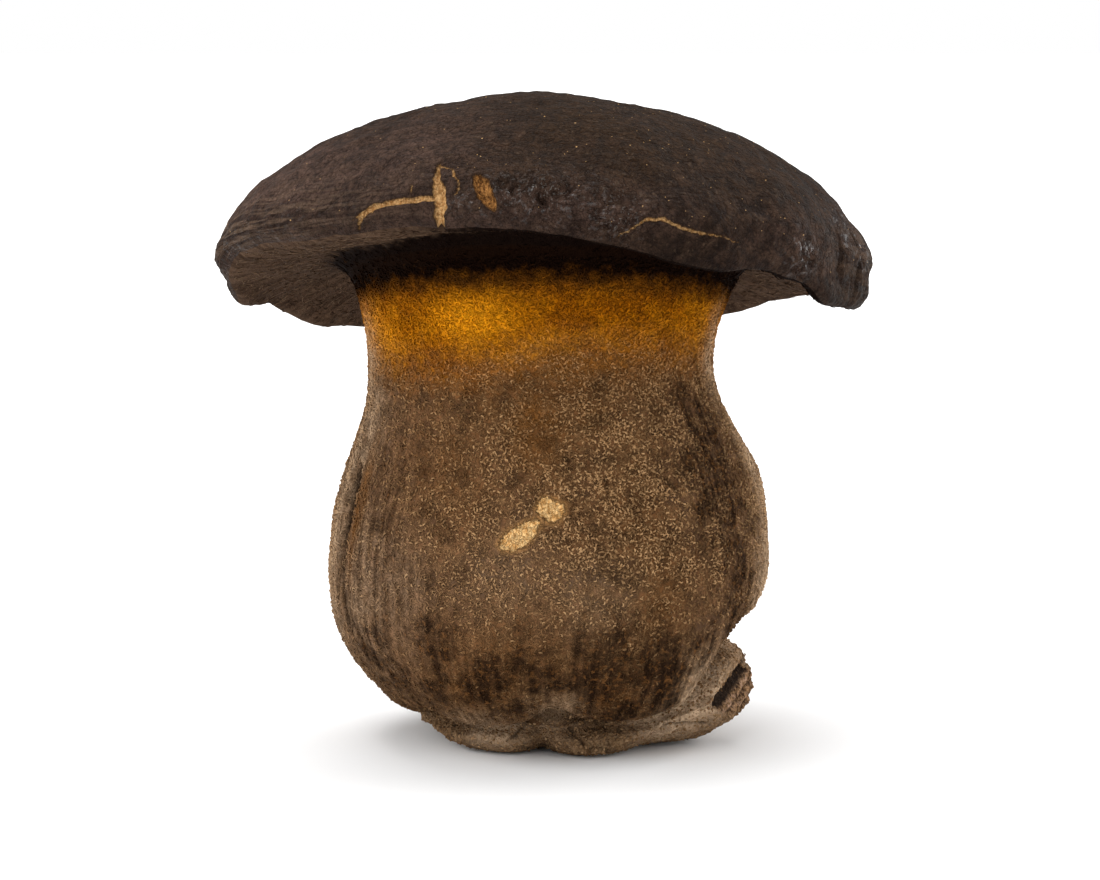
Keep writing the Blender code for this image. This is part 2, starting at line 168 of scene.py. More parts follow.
# Spans of the skin between rings, counted from the sole: where each of its regions ends.
FOOT_END = 6
STEM_END = 14
UNDERSIDE_END = 18
DOME_END = 27

# Torn places, as spots along each: azimuth, height, half the width. The cap's are in the
# cap's own frame. The last value is the depth.
CAP_CRACKS = (
    (((250.6, 2.75, 0.42), (246.9, 2.6, 0.46), (242.5, 2.3, 0.42), (239.1, 1.7, 0.46),
      (236.6, 0.7, 0.4), (235.0, -0.9, 0.16)), 0.55),
    (((250.1, 7.9, 0.2), (250.4, 5.4, 0.55), (251.4, 3.6, 0.95), (251.9, 1.4, 0.95),
      (251.4, 0.2, 0.8), (251.2, -1.3, 0.5)), 0.8),
    (((283.6, -2.9, 0.1), (286.4, -1.5, 0.14), (288.3, -0.5, 0.24), (291.5, -0.4, 0.27),
      (294.5, -1.5, 0.25), (298.9, -2.1, 0.24), (301.0, -2.1, 0.14), (306.5, -2.9, 0.08)), 0.4),
    (((250.3, 7.6, 0.14), (252.9, 6.9, 0.16), (254.6, 4.9, 0.18), (255.1, 3.9, 0.16),
      (254.2, 2.7, 0.1)), 0.3),
    (((236.5, 0.8, 0.2), (234.6, 0.3, 0.1)), 0.2),
    (((246.3, 2.7, 0.1), (246.0, 4.6, 0.16)), 0.2),
)
CAP_PITS = (
    (((258.2, 5.4, 0.7), (258.9, 4.4, 1.15), (259.9, 2.9, 1.2), (260.9, 1.6, 0.8), (261.7, 0.5, 0.2)), 0.9),
)
STEM_SCARS = (
    (((267.9, 39.4, 0.8), (269.2, 39.5, 1.5), (270.7, 39.0, 1.6), (272.4, 39.5, 0.8)), 0.4),
    (((258.8, 34.2, 0.9), (260.3, 34.7, 1.5), (262.4, 35.3, 1.6), (264.6, 36.3, 1.3),
      (266.6, 37.3, 0.6)), 0.4),
)
OUTSIDE = 100.0
TORN_STEP = 0.15
TORN_REACH = 3.0

# Furrows and creases, as spots along each: azimuth, height, half the width. The last value is
# the depth.
STEM_CREASES = (
    (((200.0, 43.0, 0.3), (200.6, 40.5, 1.0), (201.2, 37.5, 1.3), (201.6, 34.0, 1.2), (202.0, 31.0, 0.8),
      (203.0, 28.0, 0.3)), 0.7),
    (((200.5, 28.0, 0.15), (204.0, 22.9, 0.3), (207.5, 17.1, 0.35), (209.0, 10.8, 0.3),
      (212.0, 6.5, 0.2)), 0.5),
    (((206.0, 30.0, 0.15), (209.0, 24.0, 0.25), (213.0, 17.0, 0.3), (216.0, 11.0, 0.25),
      (219.0, 7.0, 0.15)), 0.35),
    (((203.0, 46.0, 0.1), (203.5, 41.0, 0.25), (204.5, 35.0, 0.3), (206.5, 28.0, 0.2),
      (211.0, 21.0, 0.1)), 0.3),
    (((296.0, 47.2, 0.3), (290.0, 46.0, 0.6), (283.9, 46.2, 0.8), (278.0, 45.2, 0.6),
      (272.7, 44.8, 0.3)), 0.22),
    (((302.0, 43.2, 0.35), (304.0, 42.0, 0.4), (305.7, 41.2, 0.25)), 0.4),
    (((285.0, 43.4, 0.3), (285.3, 42.2, 0.35)), 0.35),
    (((274.0, 46.6, 0.35), (275.0, 46.0, 0.35)), 0.3),
    (((316.0, 4.7, 0.2), (322.0, 4.6, 0.35), (330.0, 4.1, 0.25)), 0.45),
    (((262.0, 5.4, 0.2), (256.0, 4.2, 0.3), (252.0, 2.6, 0.2)), 0.4),
    (((278.0, 4.6, 0.2), (282.0, 3.2, 0.3), (284.0, 1.8, 0.2)), 0.4),
)
CAP_CREASES = (
    (((322.5, -1.3, 0.12), (323.1, -2.1, 0.22), (323.6, -2.7, 0.15)), 0.5),
    (((323.6, -3.0, 0.2), (322.0, -4.6, 0.4), (320.5, -6.2, 0.3)), 0.5),
    (((335.0, 1.5, 0.15), (335.8, -2.0, 0.35), (334.5, -5.5, 0.3)), 0.3),
    (((341.0, 2.5, 0.15), (342.4, -1.5, 0.35), (341.0, -6.0, 0.3)), 0.35),
    (((347.0, 1.5, 0.15), (348.4, -2.0, 0.3), (347.5, -6.0, 0.25)), 0.3),
    (((264.4, 3.1, 0.4), (264.8, 2.6, 0.4)), 0.4),
    (((269.3, 2.3, 0.5), (270.1, 1.7, 0.5)), 0.35),
    (((232.0, 4.6, 0.1), (228.0, 2.0, 0.25), (222.0, 0.6, 0.3), (214.0, 1.0, 0.15)), 0.22),
    (((221.0, 5.5, 0.1), (214.0, 3.2, 0.25), (206.0, 2.2, 0.3), (199.0, 2.4, 0.15)), 0.25),
)
# The reach round a crease within which its groove and its painted shade are worked out, and the depth from
# which that shade is darkest.
CREASE_REACH = 2.4
DARKEST_FROM = 0.5

# Small pushes of the skin outwards: azimuth, height, width in degrees, half the height, how far.
# The pairs after them are the spans over which the pushes start and stop.
CAP_PUSHES = (
    (190.0, 3.5, 16.0, 3.5, -0.7), (172.0, -4.5, 8.0, 2.0, 0.6), (352.0, -6.0, 8.0, 3.0, 1.3),
    (354.0, 1.5, 3.0, 1.2, 0.4), (333.0, -8.5, 6.0, 2.5, 0.7), (320.5, -4.5, 3.0, 2.0, 0.8),
)
STEM_PUSHES = ((352.0, 23.0, 10.0, 5.0, 0.6),)
CAP_PUSHED_FROM = (16.5, 17.5)
STEM_PUSHED_FROM = (FOOT_END, 7.0)
STEM_PUSHED_TO = (13.0, STEM_END)

# Ropey crimps of the margin: size, azimuth, width in degrees, how wide and how long each is in
# mm, its slant, and the shift of its noise. The reach is that of the margin round the body.
ROPES = (
    (0.5, 204.0, 30.0, 0.9, 9.0, -0.25, 1.0), (0.42, 190.0, 26.0, 0.8, 6.0, 0.5, 5.0),
    (0.45, 342.0, 20.0, 7.0, 1.3, 0.1, 9.0), (0.3, 352.0, 18.0, 1.1, 3.6, -0.3, 3.0),
)
CRIMPED_REACH = 46.0

# Spans where the margin is crimped, where its very edge is, and where its ropes get painted shade and
# highlights: the middle and half the width.
CRIMPED_SPANS = (18.7, 1.5)
EDGE_SPANS = (18.0, 0.8)
ROPE_SPANS = (19.2, 1.5)

# Noise of the fine skin: how far it stands out, the width of its bumps and the shift of the
# noise, then how the grain is stretched where the noise runs along it.
FELT_NOISE = ((0.10, 1.3), (0.06, 0.65, 7.0))
STREAK_NOISE = ((1.0, 2.1, 0.0, (1.0, 1.0, 0.09)), (0.6, 1.0, 3.0, (1.0, 1.0, 0.12)))
GRAIN_NOISE = ((0.36, 2.2), (0.24, 0.95, 5.0))
PORE_NOISE = (
    (0.14, 1.5, 0.0, (1.0, 1.0, 0.06)), (0.06, 0.8, 2.0), (0.5, 4.5, 3.0, (1.0, 1.0, 0.12)),
)
WRINKLE_NOISE = ((0.16, 1.5), (0.36, 3.4, 2.0))
FLOOR_NOISE = ((0.16, 1.6, 8.0), (0.14, 0.7))

# Waves of the fold under the bulb: azimuth, width in degrees and spans upwards.
FOLD_WAVES = (
    (271.0, 9.0, 0.5), (222.0, 10.0, 0.4), (308.0, 9.0, 0.3), (245.0, 8.0, -0.2), (120.0, 12.0, 0.4),
)

# The fold's lip and its groove: spans over the fold, half the width, how far it stands out.
FOLD_SHAPES = ((0.75, 0.3, 0.5), (0.1, 0.3, -0.9))
# Half the width of the painted shade along the fold's groove.
FOLD_SHADE_WIDTH = 0.35

# The stub, where no fold runs under the bulb: the middle azimuth and half the width, in degrees.
OPEN_FOLD = (344.0, 20.0)

# How far torn places and creases wander off their lines.
TORN_WANDER = 0.22
CREASE_WANDER = 0.15

# The lip round a torn place: how far off its edge, half the width and the height.
TORN_LIP = (0.3, 0.22, 0.12)

# The tear across the stub's end: where it starts on the end's plane (aside and height), how it
# slants, and the ridges, painted as highlights only, and the gashes, carved and painted with shade,
# below it: how far over the tear, half the width, size.
STUB_TEAR_START = (-3.0, 8.0)
STUB_TEAR_SLANT = math.radians(25.9)
STUB_RIDGES = ((-3.6, 0.7, 1.0), (-5.6, 0.5, 0.7), (-7.6, 0.6, 0.6))
STUB_GASHES = ((-1.4, 1.3, 1.9), (-4.7, 0.4, 0.7), (-6.6, 0.4, 0.7), (-8.6, 0.5, 0.5))

# Where the skin's faces are small without a torn line: azimuth and half a width, first and last span.
FINE_REGIONS = ((209.0, 42.0, 17.2, 21.6), (340.0, 28.0, 17.0, 21.0), (206.0, 14.0, 7.5, 11.2))

# Soft blots of the stem, each an azimuth, a height, a width in degrees, half the height and a
# strength: dark bruises, with painted shade on the stem's right; pale tan places, with painted
# light along the right edges of the stem and the neck and on the stub; orange-brown stains; the
# grey-brown left side, with painted shade on the right; and where the golden neck is brightest,
# partly painted light on its left.
STEM_BLOTS = {
    # Bruises; those on the stem's right, near azimuth 322 to 326, are partly painted shade.
    "bruise_and_shade": (
        (258.0, 10.5, 9.0, 3.0, 0.6), (262.0, 17.0, 8.0, 5.0, 0.45), (232.0, 11.0, 10.0, 4.0, 0.5),
        (283.0, 14.5, 9.0, 7.0, 1.0), (301.0, 13.0, 9.0, 6.5, 0.95), (291.0, 9.0, 12.0, 4.0, 0.7),
        (252.0, 13.5, 8.0, 5.0, 0.85), (238.0, 18.0, 9.0, 8.0, 0.55), (322.0, 44.0, 13.0, 12.0, 0.75),
        (326.0, 27.0, 9.0, 12.0, 0.6), (268.0, 14.0, 10.0, 4.0, 0.6), (216.0, 16.0, 12.0, 8.0, 0.5),
        (100.0, 18.0, 16.0, 8.0, 0.7), (150.0, 34.0, 12.0, 9.0, 0.4), (40.0, 30.0, 14.0, 12.0, 0.4),
        (222.0, 36.0, 10.0, 10.0, 0.3), (312.0, 19.0, 9.0, 5.0, 0.5),
    ),
    # Pale tan places; those on the right edges of the stem and the neck and on the stub are painted light.
    "pale": (
        (202.0, 47.0, 9.0, 10.0, 0.8), (192.0, 60.0, 11.0, 7.0, 1.0), (347.0, 25.0, 9.0, 10.0, 1.0),
        (190.0, 22.0, 14.0, 12.0, 0.7), (214.0, 25.0, 14.0, 12.0, 0.5), (229.0, 26.0, 10.0, 10.0, 0.3),
        (258.0, 28.0, 16.0, 9.0, 0.12), (279.0, 25.0, 12.0, 7.0, 0.14), (272.0, 8.5, 8.0, 3.5, 0.6),
        (346.0, 61.0, 9.0, 8.0, 1.0), (245.0, 5.0, 12.0, 3.0, 0.7), (319.0, 9.0, 12.0, 7.0, 1.0),
        (350.0, 42.0, 8.0, 8.0, 0.8), (194.0, 36.0, 7.0, 20.0, 0.8),
    ),
    "stain": (
        (266.0, 51.0, 8.0, 6.0, 1.0), (276.0, 57.0, 14.0, 3.5, 0.6), (300.0, 24.0, 8.0, 4.0, 0.4),
        (286.0, 11.0, 6.0, 3.0, 0.6), (246.0, 12.0, 6.0, 3.0, 0.6), (208.5, 37.0, 3.5, 9.0, 1.0),
        (284.0, 53.0, 9.0, 4.0, 0.4), (252.0, 55.0, 8.0, 4.0, 0.4), (280.0, 57.0, 50.0, 4.0, 0.5),
        (255.0, 17.0, 30.0, 8.0, 0.4), (238.0, 44.0, 18.0, 12.0, 0.35),
    ),
    # Grey-brown sides; the blot on the right is painted shade.
    "grey_and_shade": (
        (212.0, 36.0, 26.0, 24.0, 1.0), (226.0, 22.0, 22.0, 16.0, 0.8), (324.0, 40.0, 16.0, 22.0, 0.8),
        (160.0, 36.0, 30.0, 20.0, 0.6),
    ),
    # Partly painted light: the gold is brightest on the neck's left.
    "glow_and_light": (
        (246.0, 66.0, 16.0, 4.5, 1.0), (200.0, 62.0, 18.0, 5.0, 0.9), (338.0, 64.0, 20.0, 6.0, 0.6),
        (262.0, 62.5, 20.0, 3.5, 0.5), (90.0, 62.0, 50.0, 5.0, 0.5), (300.0, 63.0, 20.0, 4.0, 0.35),
    ),
}

# Soft blots of the cap, in its own frame: pitted places, whose grey flecks are painted glints, paler
# haze with a painted sheen on the left and the low front, the ochre of the upper middle, and glossy places.
CAP_BLOTS = {
    # Pitted places, dented in the relief; their grey flecks are painted glints.
    "scab": (
        (264.0, 3.2, 3.0, 2.2, 1.0), (270.5, 3.4, 5.5, 2.6, 1.0), (282.5, 0.6, 4.5, 3.4, 1.0),
        (322.0, -4.0, 3.0, 3.0, 0.8), (256.0, 1.6, 3.5, 1.6, 0.7), (66.0, 4.0, 6.0, 3.0, 1.0),
        (150.0, 5.0, 5.0, 3.0, 1.0),
    ),
    "haze_and_sheen": (
        (206.0, 5.0, 34.0, 11.0, 1.0), (240.0, 9.0, 17.0, 11.0, 0.6), (250.0, -1.0, 22.0, 4.0, 0.6),
        (275.0, 1.0, 20.0, 4.0, 0.45), (322.0, -3.0, 14.0, 5.0, 0.4),
        (347.0, 1.0, 14.0, 5.0, 0.45), (120.0, 8.0, 30.0, 10.0, 0.5), (30.0, 8.0, 18.0, 9.0, 0.4),
    ),
    "ochre": (
        (292.0, 13.0, 44.0, 9.0, 1.0), (262.0, 19.0, 30.0, 7.0, 0.8), (60.0, 14.0, 50.0, 9.0, 0.8),
    ),
    "sheen": (
        (200.0, 1.0, 30.0, 6.0, 0.25), (270.0, 2.0, 14.0, 3.0, 1.0), (283.0, 0.0, 6.0, 3.0, 0.9),
        (321.0, -4.0, 4.0, 3.0, 1.0), (345.0, 0.0, 12.0, 6.0, 0.4),
    ),
}

# The lower edge of the golden neck, going round it: azimuth, height, and how far it fades.
GOLD_EDGE = (
    (0, 59.0), (60, 57.0), (120, 58.5), (193, 58.5), (225, 58.5), (250, 59.5), (270, 61.5),
    (300, 61.0), (330, 60.0),
)
GOLD_FADE = 6.0

# How far the gold's measure falls over the first spans of the underside, which is never golden.
OFF_UNDERSIDE = 5.0
UNDERSIDE_STARTS = (13.9, 14.7)

# Spans over which the black above the golden neck starts, and fades again on the underside; the
# black is partly the pores' own dark and partly painted shade under the cap. At the front, given by
# its middle azimuth and half its width, it reaches the margin as painted shade.
SHADE_STARTS = (13.35, 14.1)
SHADE_ENDS = (14.2, 16.2)
SHADED_FRONT = (300.0, 60.0)

# Rows of the fine skin lie this far apart in each region: the span it ends at, the distance.
ROW_SPACINGS = (
    (2, 3.0), (FOOT_END, 0.75), (STEM_END, 0.95), (UNDERSIDE_END, 1.15), (20, 0.8), (DOME_END, 1.25),
)
COLUMNS = 264
TRIANGLES_ALLOWED = 200000

# The grain's circle round the body, near the mean reach of stem and cap.
GRAIN_REACH = 38.0

# Distances to a torn line within which the skin's faces are divided once more, and then
# again, and whether those of the fine regions are divided too.
REFINED_WITHIN = ((1.9, True), (0.9, False))


def four_way(values, azimuth):
    """A smooth curve round the body through a value for each of the four sides."""
    right, back, left, front = values
    return (
        (right + back + left + front) / 4
        + (right - left) / 2 * np.cos(azimuth)
        + (back - front) / 2 * np.sin(azimuth)
        + (right + left - back - front) / 4 * np.cos(2 * azimuth)
    )


def curve_shares(t):
    """The shares of a curve's start, leaving slope, end and arriving slope, at t from 0 to 1."""
    return 2 * t**3 - 3 * t**2 + 1, t**3 - 2 * t**2 + t, 3 * t**2 - 2 * t**3, t**3 - t**2


def through(pairs, azimuth):
    """A smooth closed curve through pairs of an azimuth in degrees and a value."""
    angles, values = (np.array(column, float) for column in zip(*pairs))
    angles = np.concatenate([angles[-2:] - 360, angles, angles[:2] + 360])
    values = np.concatenate([values[-2:], values, values[:2]])
    slopes = np.gradient(values, angles)
    degrees = np.degrees(azimuth) % 360
    at = np.searchsorted(angles, degrees, side="right") - 1
    gap = angles[at + 1] - angles[at]
    at_start, leaving, at_end, arriving = curve_shares((degrees - angles[at]) / gap)
    return (
        at_start * values[at] + leaving * gap * slopes[at]
        + at_end * values[at + 1] + arriving * gap * slopes[at + 1]
    )


def turn_from(azimuth, centre):
    """How many degrees an azimuth, in radians, lies past a centre in degrees."""
    return (np.degrees(azimuth) - centre + 180) % 360 - 180


def bell(value, middle, half):
    """1 at the middle value, fading to nothing over about the half width."""
    return np.exp(-(((value - middle) / half) ** 2))


def swell(azimuth, centre, width, flatness=2):
    """1 at the centre azimuth, fading to nothing over about the width, both in degrees."""
    return np.exp(-(np.abs(turn_from(azimuth, centre) / width) ** flatness))


def swells(azimuth, humps):
    """The sum of humps, each a centre azimuth, a width and a size."""
    return sum(size * swell(azimuth, centre, width) for centre, width, size in humps)


def fade(value, low, high):
    """0 below the low value and 1 above the high one, with a smooth step between them."""
    t = np.clip((value - low) / (high - low), 0, 1)
    return t * t * (3 - 2 * t)


def ring(azimuth, reach, height):
    """A ring round the stem's axis."""
    return np.stack([reach * np.cos(azimuth), reach * np.sin(azimuth), height + 0 * azimuth], axis=-1)


def from_cap(across, along, lift):
    """A point of the cap's tilted frame, in the body's own frame."""
    sine, cosine = math.sin(CAP_TILT), math.cos(CAP_TILT)
    tilted = [across, along * cosine + lift * sine, lift * cosine - along * sine]
    return np.stack(tilted, axis=-1) + np.array(CAP_CENTRE)


def to_cap(points):
    """The azimuth in the cap's tilted frame, in radians, and the height there."""
    across, along, lift = np.moveaxis(points - np.array(CAP_CENTRE), -1, 0)
    sine, cosine = math.sin(CAP_TILT), math.cos(CAP_TILT)
    return np.arctan2(along * cosine - lift * sine, across), lift * cosine + along * sine


def cap_ring(azimuth, share, height, lifted):
    """A ring of the cap: its share of the reach, its height and its share of the margin's lift."""
    reach = share * four_way(CAP_REACH, azimuth) + swells(azimuth, MARGIN_SWELLS) * share**12
    lift = height + through(MARGIN_LIFTS, azimuth) * lifted
    return from_cap(reach * np.cos(azimuth), reach * np.sin(azimuth), lift)


def overhang(azimuth):
    """1 where the bulb stands highest over the stub, fading to nothing beside it."""
    return swell(azimuth, OVERHANG_AZIMUTH, OVERHANG_WIDTH, flatness=4)


def foot_ring(azimuth, reach, height, lobed=0.0, grooved=0.0, stub=(0.0, 0.0), over=(0.0, 0.0)):
    """A ring of the lobed foot, pulled out and up by the stub and by the overhang above it."""
    grooves = swells(azimuth, FOOT_GROOVES)
    lobes = swells(azimuth, FOOT_LOBES) - grooves
    stubbed = swell(azimuth, STUB_AZIMUTH, STUB_WIDTH, flatness=4)
    outward = lobed * lobes + stub[0] * stubbed + over[0] * overhang(azimuth)
    upward = grooved * grooves + stub[1] * stubbed + over[1] * overhang(azimuth)
    return ring(azimuth, four_way(reach, azimuth) + outward, four_way(height, azimuth) + upward)


def foot_rings(azimuth):
    """The sole, the lobed foot, the stub and the crease where the bulb overhangs them."""
    sole = [ring(azimuth, 0.0, 0.0), ring(azimuth, SOLE_REACH, 0.0)]
    return sole + [foot_ring(azimuth, **shape) for shape in FOOT_RINGS]


def stem_rings(azimuth):
    """The bulb, the shoulder and the neck, from the crease up."""
    tucked = swell(azimuth, TUCK_AZIMUTH, TUCK_WIDTH)
    unchanged = (0.0, 0.0)
    rings = []
    for (reach, height), (lift, tuck) in zip_longest(STEM_RINGS, BULB_LIFTS_AND_TUCKS, fillvalue=unchanged):
        lifted = four_way(height, azimuth) + lift * overhang(azimuth)
        rings.append(ring(azimuth, four_way(reach, azimuth) - tuck * tucked, lifted))
    return rings


def dome_height(share):
    """The dome's height over the margin's widest line, at a share of its reach."""
    return DOME_HEIGHT * (1 - share**DOME_FULLNESS) ** (1 / DOME_SHOULDER)


def cap_rings(azimuth):
    """The underside, from the flare outwards, then the margin and the dome up to its top."""
    rings = [cap_ring(azimuth, *edge) for edge in UNDERSIDE]
    for share in (1.0, *DOME_SHARES, 0.0):
        hollow = swells(azimuth, DOME_HOLLOW) * 4 * share * (1 - share)
        rings.append(cap_ring(azimuth, share, dome_height(share) - hollow, DOME_LIFTED * share**8))
    return rings


def rows_per_span(rings):
    """How many rows each span between two rings gets, from the spacing of its region."""
    lengths = np.linalg.norm(np.diff(rings, axis=0), axis=-1).max(axis=1)
    ends, spacings = zip(*ROW_SPACINGS)
    at = np.searchsorted(ends, np.arange(len(lengths)), side="right")
    return np.ceil(lengths / np.array(spacings)[at]).astype(int)


def smooth_skin(rings):
    """The fine skin through the rings: its points by row and column, and the span of each row."""
    below = 2 * rings[:1] - rings[1:2]
    above = 2 * rings[-1:] - rings[-2:-1]
    knots = np.concatenate([below, rings, above])
    rows, spans = [], []
    for span, count in enumerate(rows_per_span(rings)):
        before, start, end, after = knots[span : span + 4]
        gaps = [np.sqrt(np.linalg.norm(b - a, axis=-1, keepdims=True)) + 1e-6
                for a, b in ((before, start), (start, end), (end, after))]
        run = end - start
        leaving = run + gaps[1] * ((start - before) / gaps[0] - (end - before) / (gaps[0] + gaps[1]))
        arriving = run + gaps[1] * ((after - end) / gaps[2] - (after - start) / (gaps[1] + gaps[2]))
        for step in range(count):
            at_start, with_leaving, at_end, with_arriving = curve_shares(step / count)
            spans.append(span + step / count)
            rows.append(
                at_start * start + with_leaving * leaving + at_end * end + with_arriving * arriving
            )
    return np.array(rows + [rings[-1]]), np.array(spans + [float(DOME_END)])


def normals_of(points):
    """The outward direction at every point of the skin."""
    up = np.gradient(points, axis=0)
    wrapped = np.concatenate([points[:, -1:], points, points[:, :1]], axis=1)
    round_body = (wrapped[:, 2:] - wrapped[:, :-2]) / 2
    outward = np.cross(round_body, up)
    length = np.linalg.norm(outward, axis=-1, keepdims=True)
    return outward / np.maximum(length, 1e-9)


def noise_at(points, width, shift=0.0):
    """Smooth noise from -1 to 1 at each point, with bumps of about the width."""
    flat = points.reshape(-1, 3) / width + shift
    values = np.fromiter((noise.noise(Vector(point)) for point in flat), float, len(flat))
    return values.reshape(points.shape[:-1])


def humps_at(azimuth, height, shapes):
    """The sum of soft humps: each an azimuth, a height, a width, half the height and a size."""
    total = np.zeros_like(height)
    for centre, middle, width, half, size in shapes:
        total += size * swell(azimuth, centre, width) * bell(height, middle, half)
    return total


def blots(azimuth, height, shapes):
    """The strongest of soft blots at each place, from 0 to 1."""
    return np.max([humps_at(azimuth, height, [shape]) for shape in shapes], axis=0)


def furrow_depth(points):
    """How deep the furrow on the left is at each point."""
    height = points[..., 2]
    azimuth = np.arctan2(points[..., 1], points[..., 0])
    heights, azimuths, depths = (np.array(column) for column in zip(*FURROW[::-1]))
    turn = azimuth - np.radians(np.interp(height, heights, azimuths))
    aside = np.linalg.norm(points[..., :2], axis=-1) * np.sin(turn)
    return bell(aside, 0.0, FURROW_WIDTH) * (np.cos(turn) > 0) * np.interp(height, heights, depths)


def broad_relief(points):
    """How far the skin stands out of its smooth shape: lumps, folds of the bulb and the furrow."""
    height = points[..., 2]
    azimuth = np.arctan2(points[..., 1], points[..., 0])
    lumps = sum(size * noise_at(points, width) for width, size in LUMPS)
    lumps *= np.clip(height / LUMPS_START, 0, 1)

    folds = swells(azimuth, BULB_FOLDS)
    folds *= bell(height, BULB_FOLDS_HEIGHT, BULB_FOLDS_SPREAD)
    folds *= np.clip((height - BULB_START) / LUMPS_START, 0, 1)
    return lumps + folds - furrow_depth(points)


def pushes(points, spans):
    """The small pushes of the cap's margin and of the stem."""
    azimuth = np.arctan2(points[..., 1], points[..., 0])
    on_cap = fade(spans, *CAP_PUSHED_FROM)[:, None]
    on_stem = (fade(spans, *STEM_PUSHED_FROM) * (1 - fade(spans, *STEM_PUSHED_TO)))[:, None]
    cap_pushes = humps_at(*to_cap(points), CAP_PUSHES)
    return on_cap * cap_pushes + on_stem * humps_at(azimuth, points[..., 2], STEM_PUSHES)


def cut_direction():
    """The direction that the stub's cut end faces, and the level direction across the cut."""
    sine, cosine = math.sin(STUB_CUT_AZIMUTH), math.cos(STUB_CUT_AZIMUTH)
    return np.array([cosine, sine, 0.0]), np.array([-sine, cosine, 0.0])


def cut_stub(points, spans):
    """The skin with what reaches past the stub's cut plane pressed flat onto it."""
    outward, _ = cut_direction()
    foot = spans < FOOT_END
    past = np.maximum(points[foot] @ outward - STUB_CUT_DISTANCE, 0)
    points[foot] -= past[..., None] * outward
    return points


def skin_grid():
    """Points, spans and grain of the fine skin. The grain runs round the body and up it, in mm."""
    azimuth = np.linspace(0, 2 * math.pi, COLUMNS, endpoint=False)
    rings = np.array(foot_rings(azimuth) + stem_rings(azimuth) + cap_rings(azimuth))
    points, spans = smooth_skin(rings)
    relief = broad_relief(points) + pushes(points, spans)
    points = cut_stub(points + relief[..., None] * normals_of(points), spans)
    steps = np.linalg.norm(np.diff(points, axis=0), axis=-1).mean(axis=1)
    climb = np.concatenate([[0.0], np.cumsum(steps)])
    around = GRAIN_REACH * np.stack([np.cos(azimuth), np.sin(azimuth)], axis=-1)
    grain = np.empty_like(points)
    grain[..., :2] = around[None]
    grain[..., 2] = climb[:, None]
    return points, spans, grain


def lay_out_skin(mesh, heights, columns):
    """A map for baking: azimuths run across it, and the way from the sole to the top runs up it."""
    right = np.arange(columns) / columns
    left = right + 1 / columns
    middle = (right + left) / 2
    low, high = (np.repeat(rows[:, None], columns, axis=1) for rows in (heights[1:-2], heights[2:-1]))
    right, left, middle = (np.broadcast_to(places, (len(low), columns)) for places in (right, left, middle))
    quads = np.stack([right, low, left, low, left, high, right, high], axis=-1).reshape(-1, 2)
    first = np.stack([middle[0], 0 * middle[0], left[0], low[0], right[0], low[0]], axis=-1).reshape(-1, 2)
    last = np.stack([middle[0], 1 + 0 * middle[0], right[0], high[-1], left[0], high[-1]], axis=-1)
    last = last.reshape(-1, 2)
    layer = mesh.uv_layers.new(name=BAKE_MAP)
    layer.uv.foreach_set("vector", np.concatenate([first, quads, last]).astype(np.float32).ravel())


def grid_mesh(name, points, spans, grain):
    """The closed fine skin as a mesh, with its span and grain kept as attributes."""
    rows, columns = points.shape[0] - 2, points.shape[1]
    places = np.concatenate([points[:1, 0], points[-1:, 0], points[1:-1].reshape(-1, 3)]) * MM
    corner = 2 + np.arange(rows * columns).reshape(rows, columns)
    following = np.roll(corner, -1, axis=1)
    quads = np.stack([corner[:-1], following[:-1], following[1:], corner[1:]], axis=-1).reshape(-1, 4)
    bottom = [(0, after, here) for here, after in zip(corner[0], following[0])]
    top = [(1, here, after) for here, after in zip(corner[-1], following[-1])]
    mesh = bpy.data.meshes.new(name)
    mesh.from_pydata(places.tolist(), [], bottom + quads.tolist() + top)
    lay_out_skin(mesh, grain[:, 0, 2] / grain[-1, 0, 2], columns)
    span = np.concatenate([spans[:1], spans[-1:], np.repeat(spans[1:-1], columns)])
    keep_values(mesh, "span", span)
    flow = np.concatenate([grain[:1, 0], grain[-1:, 0], grain[1:-1].reshape(-1, 3)])
    keep_vectors(mesh, "grain", flow)
    return mesh


def keep_values(mesh, name, values):
    """Stores one number for each of the mesh's points."""
    layer = mesh.attributes.get(name) or mesh.attributes.new(name, "FLOAT", "POINT")
    layer.data.foreach_set("value", np.asarray(values, np.float32))


def keep_vectors(mesh, name, vectors):
    """Stores a vector for each of the mesh's points."""
    layer = mesh.attributes.get(name) or mesh.attributes.new(name, "FLOAT_VECTOR", "POINT")
    layer.data.foreach_set("vector", np.asarray(vectors, np.float32).ravel())


def read_out(items, field, width):
    """The numbers that each of the items holds in a field, as rows of the width."""
    values = np.empty(len(items) * width, np.float32)
    items.foreach_get(field, values)
    return values.reshape(-1, width).astype(float)


def read_values(mesh, name):
    """The numbers stored for the mesh's points."""
    return read_out(mesh.attributes[name].data, "value", 1)[:, 0]


def places_of(mesh):
    """The mesh's points, in millimetres."""
    return read_out(mesh.vertices, "co", 3) / MM


def put_above_floor(mesh, places):
    """Moves the mesh's points to the places, in millimetres, and none of them below the floor."""
    places[:, 2] = np.maximum(places[:, 2], 0.0)
    mesh.vertices.foreach_set("co", (places * MM).astype(np.float32).ravel())


def skin_finder(mesh):
    """A function that gives the point of the skin that is met from outside, in millimetres."""
    places = places_of(mesh)
    tree = BVHTree.FromPolygons(places.tolist(), [tuple(face.vertices) for face in mesh.polygons])

    def find(start, towards):
        start, towards = Vector(start), Vector(towards)
        return np.array(tree.ray_cast(start, towards - start)[0])

    return find


